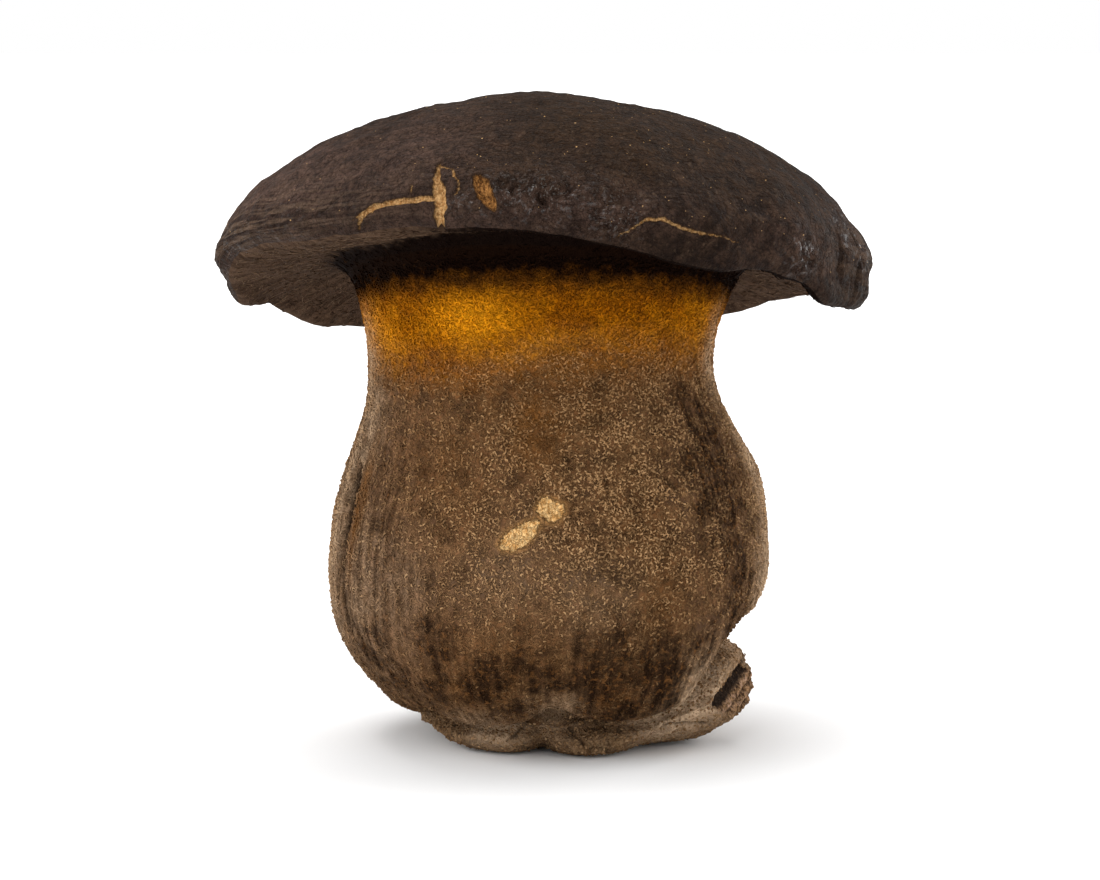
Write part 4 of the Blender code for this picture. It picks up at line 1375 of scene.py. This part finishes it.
def underside_finish(groups, colours):
    """The velvety pore surface, brown-grey near the margin and black towards the neck, and at the front out
    to the margin; the black is partly painted shade.
    """
    pores = Finish("velvety_pores", groups, colours, 0.02)
    make = pores.make
    radial = pores.along((1.0, 1.0, 0.15))
    strokes = pores.mottle(1.0, 0.35, 0.65, radial)
    felt = pores.felt(0.8, 0.09)
    colour = pores.layered(
        pores.mixed("pores_deep", "pores_brown", strokes),
        ("pores_deep", pores.mottle(4.0), 0.4),
        ("pores_fibre", felt["Fibres"], 0.3),
    )
    # Painted shade in the underside's creases.
    colour = pores.laid(pores.golden(colour), "crease_dark", make.stored("crease"), 0.8)
    height = make.plus(pores.wrinkles(1.0, radial), make.times(felt["Height"], 0.5))
    return pores.end(colour, 0.9, height, 0.2)


def stem_finish(groups, colours):
    """The stem's brown felt under its curls, its golden neck, bruises and scars, with painted shade on its
    right, its lower part and its creases.
    """
    stem = Finish("matted_brown_felt", groups, colours, 0.02)
    make = stem.make
    felt = stem.felt(0.75, 0.11)
    ground = stem.layered(
        stem.mixed("stem_dark", "stem_brown", stem.mottle(2.4, 0.38, 0.62)),
        ("stem_grey", stem.mottle(9.0, 0.34, 0.66), 0.25),
        ("stem_fibre", felt["Fibres"], 0.85),
    )
    halo = make.less(make.step(make.stored("scar"), 0.0, 0.9))
    colour = stem.laid(stem.stemmed(ground), "scar_deep", halo, 0.35)
    colour, _ = stem.torn(colour, "scar", "scar_pale", "scar_deep", 0.5)
    return stem.end(colour, 0.9, felt["Height"], 0.35)


def foot_finish(groups, colours):
    """The pale granular skin of the foot and the stub, paler on the stub partly as painted light, and the
    stub's dark torn end, with painted highlights on its ridges and painted shade in its gashes.
    """
    foot = Finish("granular_foot", groups, colours, 0.04)
    make = foot.make
    grains = foot.felt(0.8, 0.16)
    colour = foot.layered(
        foot.mixed("foot_dark", "foot_tan", foot.mottle(1.4)),
        ("foot_grey", foot.mottle(6.0), 0.45),
        ("foot_fibre", grains["Fibres"], 0.55),
        # Pale places, partly painted light on the stub.
        ("foot_pale", foot.patchy("pale", 0.65, foot.mottle(1.1))),
        ("foot_dark", foot.specks(1.1, 0.35, 0.1), 0.35),
    )
    flesh = make.placed(groups["flesh"], {"Place": foot.place})
    torn = foot.layered(
        foot.mixed("cut_dark", "cut_brown", flesh["Strands"]),
        # Painted highlights on the ridges and painted shade in the gashes.
        ("cut_pink", make.times(make.stored("ridge_highlight"), foot.mottle(0.9, 0.46, 0.6)), 0.7),
        ("cut_hollow", make.step(make.stored("gash"), 0.2, 0.9), 0.95),
    )
    colour = make.blend(foot.creased(colour), torn, make.stored("torn"))
    return foot.end(colour, 0.9, grains["Height"], 0.25)


def curl_finish(groups, colours, name, low, high):
    """Curls of the stem, each with its own tone between two colours, changed by where it grows."""
    curls = Finish(name, groups, colours, 0.02)
    tone = curls.make.stored("tone")
    colour = curls.stemmed(curls.mixed(low, high, tone), tone)
    return curls.end(colour, 0.85)


def grain_finish(groups, colours, name, low, high):
    """Small grains, each with its own tone between two colours, mottled a little."""
    grains = Finish(name, groups, colours, 0.03)
    tone = grains.make.stored("tone")
    colour = grains.laid(grains.mixed(low, high, tone), low, grains.mottle(0.5), 0.4)
    return grains.end(colour, 0.85)


# The least and the most that a scattered piece is scaled by, and how far it may tilt.
PIECE_SCALES = (0.65, 1.4)
CURL_TILT = math.radians(14.0)
GRAIN_TILT = math.radians(25.0)


def scatter_tree(name, inputs, shapes_of, tilt):
    """A tree that scatters shapes as thickly as a mask asks, each turned, sized and toned by chance."""
    tree = bpy.data.node_groups.new(name, "GeometryNodeTree")
    common = {"Skin": "Geometry", "Density": "Float", "Mask": "String", "Seed": "Int", "Finish": "Material"}
    for label, kind in {**common, **inputs}.items():
        tree.interface.new_socket(label, in_out="INPUT", socket_type="NodeSocket" + kind)
    tree.interface.new_socket("Pieces", in_out="OUTPUT", socket_type="NodeSocketGeometry")
    make = NodeMaker(tree)
    given = make.add("NodeGroupInput").outputs

    def chance(low, high, seed):
        node = make.add("FunctionNodeRandomValue", {2: low, 3: high, "Seed": seed}, data_type="FLOAT")
        return node.outputs[1]

    def kept(geometry, label, value):
        inputs = {"Geometry": geometry, "Name": label, "Value": value}
        return make.add("GeometryNodeStoreNamedAttribute", inputs, data_type="FLOAT").outputs[0]

    shapes = make.add("GeometryNodeJoinGeometry")
    for shape in shapes_of(make, given, kept):
        tree.links.new(make.add("GeometryNodeGeometryToInstance", {0: shape}).outputs[0], shapes.inputs[0])
    mask = make.add("GeometryNodeInputNamedAttribute", {"Name": given["Mask"]}, data_type="FLOAT").outputs[0]
    inputs = {"Mesh": given["Skin"], "Density": make.times(given["Density"], mask), "Seed": given["Seed"]}
    spots = make.add("GeometryNodeDistributePointsOnFaces", inputs, distribute_method="RANDOM").outputs
    points = kept(spots["Points"], "tone", chance(0.0, 1.0, 11))
    points = kept(points, "cell", make.add("GeometryNodeInputIndex").outputs[0])
    angles = {0: chance(-tilt, tilt, 1), 1: chance(-tilt, tilt, 2), 2: chance(0.0, 2 * math.pi, 3)}
    turn = make.add("FunctionNodeEulerToRotation", {0: make.add("ShaderNodeCombineXYZ", angles).outputs[0]})
    inputs = {"Rotation": spots["Rotation"], "Rotate By": turn.outputs[0]}
    turned = make.add("FunctionNodeRotateRotation", inputs, rotation_space="LOCAL").outputs[0]
    inputs = {"Points": points, "Instance": shapes.outputs[0], "Pick Instance": True,
              "Rotation": turned, "Scale": chance(*PIECE_SCALES, 4)}
    pieces = make.add("GeometryNodeInstanceOnPoints", inputs).outputs[0]
    pieces = make.add("GeometryNodeRealizeInstances", {0: pieces}).outputs[0]
    pieces = make.add("GeometryNodeSetShadeSmooth", {0: pieces}).outputs[0]
    pieces = make.add("GeometryNodeSetMaterial", {"Geometry": pieces, "Material": given["Finish"]}).outputs[0]
    make.add("NodeGroupOutput", {0: pieces})
    return tree


# The three forms of a curl: how much it bends and how long it is, against the tree's inputs.
CURL_FORMS = ((0.5, 0.8), (1.0, 1.0), (1.7, 1.3))
CURL_SIDES = 3

# How far a curl's ends dip into the skin, as a share of its rise, and how thick they are there,
# as a share of its middle.
CURL_DIP = 0.35
CURL_TIP = 0.35


def curl_shapes(make, given, kept):
    """Arcs that taper to both ends, rise in the middle and dip into the skin at their ends."""
    for bend, stretch in CURL_FORMS:
        sweep = make.times(given["Curl"], bend)
        radius = make.maths("DIVIDE", make.times(given["Length"], stretch), sweep)
        inputs = {"Resolution": given["Points"], "Radius": radius,
                  "Start Angle": make.times(sweep, -0.5), "Sweep Angle": sweep}
        arc = make.add("GeometryNodeCurveArc", inputs).outputs[0]
        along = make.add("GeometryNodeSplineParameter").outputs["Factor"]
        arc = kept(arc, "along", along)
        outward = make.maths("ABSOLUTE", make.maths("SUBTRACT", make.times(along, 2.0), 1.0))
        hump = make.less(make.maths("POWER", outward, 2.0))
        lift = make.times(given["Rise"], make.maths("SUBTRACT", hump, CURL_DIP))
        shift = make.add("ShaderNodeCombineXYZ", {0: make.times(radius, -1.0), 2: lift}).outputs[0]
        arc = make.add("GeometryNodeSetPosition", {"Geometry": arc, "Offset": shift}).outputs[0]
        inputs = {"Resolution": CURL_SIDES, "Radius": given["Thickness"]}
        circle = make.add("GeometryNodeCurvePrimitiveCircle", inputs)
        index = make.add("GeometryNodeInputIndex").outputs[0]
        rim = kept(circle.outputs[0], "around", make.maths("DIVIDE", index, CURL_SIDES - 1))
        inputs = {"Curve": arc, "Profile Curve": rim, "Scale": make.between(CURL_TIP, 1.0, hump),
                  "Fill Caps": True}
        yield make.add("GeometryNodeCurveToMesh", inputs).outputs[0]


# The forms of a grain, each by how far its noise is shifted, and how deep and high its dents are.
GRAIN_FORMS = (0.0, 5.0, 9.0)
GRAIN_DENTS = (0.45, 1.7)


def grain_shapes(make, given, kept):
    """Small lumps, dented by noise and pressed flat."""
    for shift in GRAIN_FORMS:
        ball = make.add("GeometryNodeMeshIcoSphere", {"Radius": 1.0, "Subdivisions": 1}).outputs[0]
        place = make.add("GeometryNodeInputPosition").outputs[0]
        dents = make.noise(make.shifted(place, shift), 1.1, 0.0)
        dented = make.vector("SCALE", place, make.between(*GRAIN_DENTS, dents))
        ball = make.add("GeometryNodeSetPosition", {"Geometry": ball, "Position": dented}).outputs[0]
        size = {0: given["Size"], 1: given["Size"], 2: make.times(given["Size"], given["Flatness"])}
        scale = make.add("ShaderNodeCombineXYZ", size).outputs[0]
        yield make.add("GeometryNodeTransform", {"Geometry": ball, "Scale": scale}).outputs[0]


# Where a curl starts in its square of the map for baking, and how much of it the curl takes.
CELL_START = 0.1
CELL_SHARE = 0.8


def lay_out_curls(mesh):
    """A map for baking, on which each curl has a small square of its own."""
    cell, along, around = (read_values(mesh, name) for name in ("cell", "along", "around"))
    side = math.ceil(math.sqrt(cell.max() + 1))
    across = cell % side + CELL_START + CELL_SHARE * along
    up = cell // side + CELL_START + CELL_SHARE * around
    places = np.stack([across, up], axis=-1) / side
    corners = np.empty(len(mesh.loops), np.int32)
    mesh.loops.foreach_get("vertex_index", corners)
    layer = mesh.uv_layers.new(name=BAKE_MAP)
    layer.uv.foreach_set("vector", places[corners].astype(np.float32).ravel())


# What the finishes of scattered pieces don't read, apart from the cap's blots.
SKIN_ONLY = (
    "span", "crack", "pit", "scar", "torn", "ridge_highlight", "gash", "rim", "rope", "matted", "tan_felt",
    "pale_felt", "gilded", "velvet", "grainy", "specked", "cell", "along", "around",
)


def scatter(context, tree, name, mask, wanted, values):
    """Scatters about the wanted number of a tree's shapes over the skin, as one new piece."""
    skin = bpy.data.objects["bolete_skin"]
    piece = bpy.data.objects.new(name, skin.data)
    context.scene.collection.objects.link(piece)
    modifier = piece.modifiers.new("scatter", "NODES")
    modifier.node_group = tree
    values = {**values, "Mask": mask, "Density": wanted / mask_area(skin.data, mask)}
    for item in tree.interface.items_tree:
        if item.name in values:
            modifier[item.identifier] = values[item.name]
    graph = context.evaluated_depsgraph_get()
    made = piece.evaluated_get(graph)
    mesh = bpy.data.meshes.new_from_object(made, preserve_all_data_layers=True, depsgraph=graph)
    piece.modifiers.clear()
    piece.data = mesh
    mesh.name = name
    put_above_floor(mesh, places_of(mesh))
    if "along" in mesh.attributes:
        lay_out_curls(mesh)
    for unread in (*CAP_BLOTS, *SKIN_ONLY):
        if unread in mesh.attributes:
            mesh.attributes.remove(mesh.attributes[unread])
    check_size(mesh)
    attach(piece, BODY)


def check_size(mesh):
    """Stops where a piece has more triangles than it may."""
    mesh.calc_loop_triangles()
    if len(mesh.loop_triangles) >= TRIANGLES_ALLOWED:
        raise RuntimeError(f"{mesh.name} has {len(mesh.loop_triangles)} triangles")


# The kinds of curl: the piece, its mask, how many, then length, thickness and rise in mm, the
# bend in degrees, the points along it, the seed and two colours.
CURLS = (
    ("matted_fibres", "matted", 9000, 1.0, 0.11, 0.14, 80.0, 3, 3, "matted_dark", "matted_brown"),
    ("tan_curls", "tan_felt", 13300, 0.72, 0.12, 0.22, 110.0, 3, 5, "curl_brown", "curl_tan"),
    ("pale_curls", "pale_felt", 8700, 0.66, 0.115, 0.26, 150.0, 4, 7, "curl_tan", "curl_pale"),
    ("golden_curls", "gilded", 7000, 0.8, 0.11, 0.24, 120.0, 4, 11, "curl_brown", "curl_tan"),
    ("foot_curls", "grainy", 2600, 0.85, 0.12, 0.14, 170.0, 3, 29, "foot_tan", "foot_fibre"),
    ("pore_fibres", "velvet", 5000, 1.3, 0.075, 0.10, 60.0, 3, 13, "pores_deep", "pores_fibre"),
)

# The kinds of grain: the piece, its mask, how many, size in mm, flatness, seed and two colours.
GRAINS = (
    ("foot_grains", "grainy", 1900, 0.2, 0.6, 17, "foot_tan", "foot_fibre"),
    ("torn_rim_crumbs", "rim", 36, 0.24, 0.8, 19, "cut_dark", "cut_brown"),
    ("cap_specks", "specked", 420, 0.085, 0.4, 23, "speck_brown", "speck_gold"),
)


def colour_setting(description, default):
    """A colour that a user can change."""
    return FloatVectorProperty(name=description, description=description, subtype="COLOR", size=3,
                               min=0.0, max=1.0, default=default)


def number_setting(name, description, default, **limits):
    """A number that a user can change."""
    return FloatProperty(name=name, description=description, default=default, **limits)


class BoleteColours(bpy.types.PropertyGroup):
    """Colours of the mushroom."""

    # Also the painted shade in the wrinkles' valleys and between the crimps' lines.
    cap_dark: colour_setting("The darkest of the cap's skin", (0.0085, 0.0047, 0.0034))
    cap_brown: colour_setting("The cap's skin", (0.042, 0.024, 0.0155))
    cap_ochre: colour_setting("Ochre clouds on the upper cap", (0.029, 0.0145, 0.0062))
    # Paler patches and a painted sheen.
    cap_haze: colour_setting("The paler haze of the cap's left side", (0.115, 0.068, 0.053))
    # Also the painted highlights on the wrinkles' crests.
    cap_fibre: colour_setting("Fine fibres on the cap", (0.085, 0.055, 0.036))
    # Also the painted highlights on the ropey crimps' lines.
    cap_fleck: colour_setting("Small light flecks on the cap", (0.12, 0.078, 0.05))
    # Painted glints of the pitted places.
    scab_grey: colour_setting("Flecks of the pitted places", (0.24, 0.225, 0.205))
    speck_gold: colour_setting("Tiny specks on the cap", (0.5, 0.3, 0.13))
    speck_brown: colour_setting("Duller specks on the cap", (0.2, 0.12, 0.06))
    crack_pale: colour_setting("Pale strands in the cracks", (0.6, 0.36, 0.155))
    crack_deep: colour_setting("Deeper flesh in the cracks", (0.36, 0.18, 0.06))
    pit_pale: colour_setting("Pale flesh in the pit", (0.34, 0.155, 0.045))
    pit_deep: colour_setting("Deep flesh in the pit", (0.1, 0.04, 0.012))
    torn_rim: colour_setting("The rim of torn places", (0.035, 0.018, 0.009))
    # Painted shade of furrows, creases and the fold.
    crease_dark: colour_setting("The depth of furrows and creases", (0.012, 0.006, 0.0035))
    # Partly painted shade under the cap.
    pores_black_and_shade: colour_setting("The black above the neck", (0.004, 0.0016, 0.001))
    pores_deep: colour_setting("Dark strokes of the underside", (0.036, 0.02, 0.0125))
    pores_brown: colour_setting("Brown strokes of the underside", (0.09, 0.053, 0.033))
    pores_fibre: colour_setting("Fibres of the underside", (0.15, 0.095, 0.06))
    gold_bright: colour_setting("The brightest of the neck", (0.72, 0.275, 0.006))
    gold_deep: colour_setting("The deeper gold of the neck", (0.3, 0.09, 0.0015))
    # Painted shade between the gold and the black.
    gold_shaded: colour_setting("The brown between the gold and the black", (0.1, 0.034, 0.004))
    stem_dark: colour_setting("The ground between the stem's fibres", (0.036, 0.016, 0.006))
    stem_brown: colour_setting("The stem's brown felt", (0.14, 0.062, 0.023))
    stem_grey: colour_setting("Greyer patches of the stem", (0.185, 0.106, 0.064))
    stem_fibre: colour_setting("Fine fibres in the felt", (0.31, 0.168, 0.072))
    # Also painted light on the stem's and the neck's right edges.
    stem_pale: colour_setting("Pale tan places of the stem", (0.62, 0.44, 0.28))
    stem_stain: colour_setting("Orange-brown stains of the stem", (0.17, 0.066, 0.014))
    matted_dark: colour_setting("The darkest matted fibres", (0.08, 0.038, 0.016))
    matted_brown: colour_setting("The lightest matted fibres", (0.22, 0.12, 0.055))
    curl_brown: colour_setting("The darkest curls", (0.12, 0.056, 0.022))
    curl_tan: colour_setting("Tan curls", (0.27, 0.15, 0.066))
    curl_pale: colour_setting("The palest curls", (0.42, 0.25, 0.118))
    # Bruises, and painted shade on the stem's right.
    bruise_and_shade_dark: colour_setting("The stem's bruises", (0.016, 0.0075, 0.004))
    bruise_spot: colour_setting("Orange spots in the bruises", (0.13, 0.055, 0.017))
    scar_pale: colour_setting("Pale strands of the scars", (0.82, 0.53, 0.235))
    scar_deep: colour_setting("Deeper flesh of the scars", (0.56, 0.29, 0.095))
    foot_tan: colour_setting("The foot's granular skin", (0.15, 0.08, 0.035))
    foot_grey: colour_setting("Greyer patches of the foot", (0.13, 0.075, 0.042))
    foot_dark: colour_setting("Pores and hollows of the foot", (0.03, 0.016, 0.008))
    foot_fibre: colour_setting("Grains of the foot", (0.36, 0.225, 0.12))
    # Also painted light on the stub.
    foot_pale: colour_setting("Pale skin of the stub and the foot's left", (0.9, 0.64, 0.42))
    cut_brown: colour_setting("Brown of the stub's torn end", (0.32, 0.18, 0.09))
    # Painted highlights on the torn end's ridges.
    cut_pink: colour_setting("Ridges of the torn end", (0.5, 0.31, 0.2))
    cut_dark: colour_setting("Dark of the torn end", (0.06, 0.032, 0.017))
    # Painted shade in the torn end's gashes.
    cut_hollow: colour_setting("The gashes of the torn end", (0.018, 0.011, 0.008))


class BoleteSkinSettings(bpy.types.PropertyGroup):
    """Sizes of the mushroom's skin, its felt and its grains."""

    wrinkling: number_setting("Wrinkling", "How strongly the cap is wrinkled", 1.0, min=0.0, max=3.0,
                              subtype="FACTOR")
    felting: number_setting("Felting", "How thickly the curls grow", 1.0, min=0.1, max=1.1, subtype="FACTOR")
    curl_size: number_setting("Curl size", "How large the curls are", 1.0, min=0.3, max=2.0, subtype="FACTOR")


class BoleteStageSettings(bpy.types.PropertyGroup):
    """The camera, the lights and the floor."""

    lens: number_setting("Lens", "Focal length of the camera, in millimetres", 120.0)
    distance: number_setting("Distance", "From the camera to its target", 0.560, unit="LENGTH")
    elevation: number_setting("Elevation", "How far the camera looks down", math.radians(7.0),
                              unit="ROTATION", subtype="ANGLE")
    target_height: number_setting("Target height", "Height that the camera looks at", 0.0454, unit="LENGTH")
    air_light: number_setting("Air light", "Strength of the white light from all sides", 0.41)
    floor_colour: colour_setting("The pale floor", (0.85, 0.85, 0.85))


# Soft lights: azimuth and elevation that it comes from, its width in degrees and its strength.
LIGHTS = {
    "key": (230.0, 40.0, 60.0, 1.6),
    "overhead": (105.0, 72.0, 50.0, 2.7),
    "fill_right": (312.0, 14.0, 50.0, 0.7),
    "rim_left": (178.0, 18.0, 50.0, 1.5),
    "rim_right": (28.0, 18.0, 50.0, 2.4),
}
FLOOR_REACH = 6.0
NEAREST_SEEN = 0.01


class BOLETE_OT_make_skin(bpy.types.Operator):
    """Makes the mushroom's skin, which stands for the plain solid"""

    bl_idname = "bolete.make_skin"
    bl_label = "Make the skin"

    def execute(self, context):
        mesh = skin_mesh(context.scene.bolete_skin)
        groups = shared_groups()
        for finish in (foot_finish, stem_finish, underside_finish, cap_finish):
            mesh.materials.append(finish(groups, context.scene.bolete_colours))
        check_size(mesh)
        spans = read_values(mesh, "span")
        middles = np.array([spans[list(face.vertices)].mean() for face in mesh.polygons])
        region = np.searchsorted((FOOT_END, STEM_END, UNDERSIDE_END), middles, side="right")
        mesh.polygons.foreach_set("material_index", region.astype(np.int32))
        skin = bpy.data.objects.new("bolete_skin", mesh)
        context.scene.collection.objects.link(skin)
        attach(skin, BODY)
        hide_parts(NODE)
        return {"FINISHED"}


class BOLETE_OT_grow_felt(bpy.types.Operator):
    """Grows the curls of the stem, the neck and the foot and the fibres of the underside"""

    bl_idname = "bolete.grow_felt"
    bl_label = "Grow the felt"

    def execute(self, context):
        settings, colours = context.scene.bolete_skin, context.scene.bolete_colours
        groups = shared_groups()
        inputs = {**dict.fromkeys(("Length", "Thickness", "Rise", "Curl"), "Float"), "Points": "Int"}
        tree = scatter_tree("scattered_curls", inputs, curl_shapes, CURL_TILT)
        size = settings.curl_size * MM
        for name, mask, wanted, length, thickness, rise, curl, points, seed, low, high in CURLS:
            finish = curl_finish(groups, colours, name, low, high)
            values = {"Length": length * size, "Thickness": thickness * size, "Rise": rise * size,
                      "Curl": math.radians(curl), "Points": points, "Seed": seed, "Finish": finish}
            scatter(context, tree, name, mask, wanted * settings.felting, values)
        return {"FINISHED"}


class BOLETE_OT_strew_grains(bpy.types.Operator):
    """Strews grains on the foot, crumbs round the stub's torn end and specks on the cap"""

    bl_idname = "bolete.strew_grains"
    bl_label = "Strew the grains"

    def execute(self, context):
        colours = context.scene.bolete_colours
        groups = shared_groups()
        inputs = {"Size": "Float", "Flatness": "Float"}
        tree = scatter_tree("scattered_grains", inputs, grain_shapes, GRAIN_TILT)
        for name, mask, wanted, size, flatness, seed, low, high in GRAINS:
            finish = grain_finish(groups, colours, name, low, high)
            values = {"Size": size * MM, "Flatness": flatness, "Seed": seed, "Finish": finish}
            scatter(context, tree, name, mask, wanted, values)
        return {"FINISHED"}


def add_aimed(name, data, place, target):
    """Adds a light or a camera at a place, looking at a target."""
    thing = bpy.data.objects.new(name, data)
    thing.location = place
    thing.rotation_euler = (Vector(target) - Vector(place)).to_track_quat("-Z", "Y").to_euler()
    bpy.context.scene.collection.objects.link(thing)
    return thing


def make_floor(settings):
    """A wide, plain, pale floor."""
    mesh = bpy.data.meshes.new("floor")
    corners = [(-FLOOR_REACH, -FLOOR_REACH, 0), (FLOOR_REACH, -FLOOR_REACH, 0),
               (FLOOR_REACH, FLOOR_REACH, 0), (-FLOOR_REACH, FLOOR_REACH, 0)]
    mesh.from_pydata(corners, [], [(0, 1, 2, 3)])
    finish = bpy.data.materials.new("pale_floor")
    finish.use_nodes = True
    shader = finish.node_tree.nodes["Principled BSDF"]
    shader.inputs["Base Color"].default_value = (*settings.floor_colour, 1.0)
    shader.inputs["Roughness"].default_value = 1.0
    shader.inputs["Specular IOR Level"].default_value = 0.0
    mesh.materials.append(finish)
    floor = bpy.data.objects.new("floor", mesh)
    bpy.context.scene.collection.objects.link(floor)
    floor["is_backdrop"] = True


def light_air(settings):
    """White air: bright behind the object, softer as a light on it."""
    world = bpy.data.worlds.new("studio")
    bpy.context.scene.world = world
    world.use_nodes = True
    make = NodeMaker(world.node_tree)
    seen = make.add("ShaderNodeLightPath").outputs["Is Camera Ray"]
    strength = make.between(settings.air_light, 1.0, seen)
    background = world.node_tree.nodes["Background"]
    background.inputs["Color"].default_value = (1.0, 1.0, 1.0, 1.0)
    make.feed(background.inputs["Strength"], strength)


class BOLETE_OT_set_stage(bpy.types.Operator):
    """Sets the floor, the lights and the camera"""

    bl_idname = "bolete.set_stage"
    bl_label = "Set the stage"

    def execute(self, context):
        settings = context.scene.bolete_stage
        make_floor(settings)
        light_air(settings)
        target = (0.0, 0.0, settings.target_height)
        for name, (azimuth, elevation, width, strength) in LIGHTS.items():
            azimuth, elevation = math.radians(azimuth), math.radians(elevation)
            level = math.cos(elevation)
            place = (math.cos(azimuth) * level, math.sin(azimuth) * level, math.sin(elevation))
            lamp = bpy.data.lights.new(name, "SUN")
            lamp.angle = math.radians(width)
            lamp.energy = strength
            add_aimed(name, lamp, place, (0.0, 0.0, 0.0))

        view = bpy.data.cameras.new("camera")
        view.lens = settings.lens
        view.clip_start = NEAREST_SEEN
        back = settings.distance * math.cos(settings.elevation)
        up = settings.target_height + settings.distance * math.sin(settings.elevation)
        context.scene.camera = add_aimed("camera", view, (0.0, -back, up), target)
        context.scene.view_settings.view_transform = "Standard"
        return {"FINISHED"}


class BOLETE_PT_panel(bpy.types.Panel):
    """Lists the steps that make the black bolete"""

    bl_label = "Black bolete"
    bl_space_type = "VIEW_3D"
    bl_region_type = "UI"
    bl_category = "Bolete"

    def draw(self, context):
        for operator in OPERATORS:
            self.layout.operator(operator.bl_idname)
        for attribute in SETTINGS:
            settings = getattr(context.scene, attribute)
            for name in settings.__annotations__:
                self.layout.prop(settings, name)


SETTINGS = {
    "bolete_skin": BoleteSkinSettings, "bolete_colours": BoleteColours, "bolete_stage": BoleteStageSettings,
}
OPERATORS = (BOLETE_OT_make_skin, BOLETE_OT_grow_felt, BOLETE_OT_strew_grains, BOLETE_OT_set_stage)
CLASSES = (*SETTINGS.values(), *OPERATORS, BOLETE_PT_panel)


def register():
    for kind in CLASSES:
        bpy.utils.register_class(kind)
    for attribute, settings in SETTINGS.items():
        setattr(bpy.types.Scene, attribute, PointerProperty(type=settings))


def unregister():
    for attribute in SETTINGS:
        delattr(bpy.types.Scene, attribute)
    for kind in reversed(CLASSES):
        bpy.utils.unregister_class(kind)


def main():
    register()
    bpy.ops.bolete.make_skin()
    bpy.ops.bolete.grow_felt()
    bpy.ops.bolete.strew_grains()
    bpy.ops.bolete.set_stage()
    boxes = {"cad_box": CAD_BOX, "visual_box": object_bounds()}
    {name: [list(corner) for corner in box] for name, box in boxes.items()}


if __name__ == "__main__":
    main()
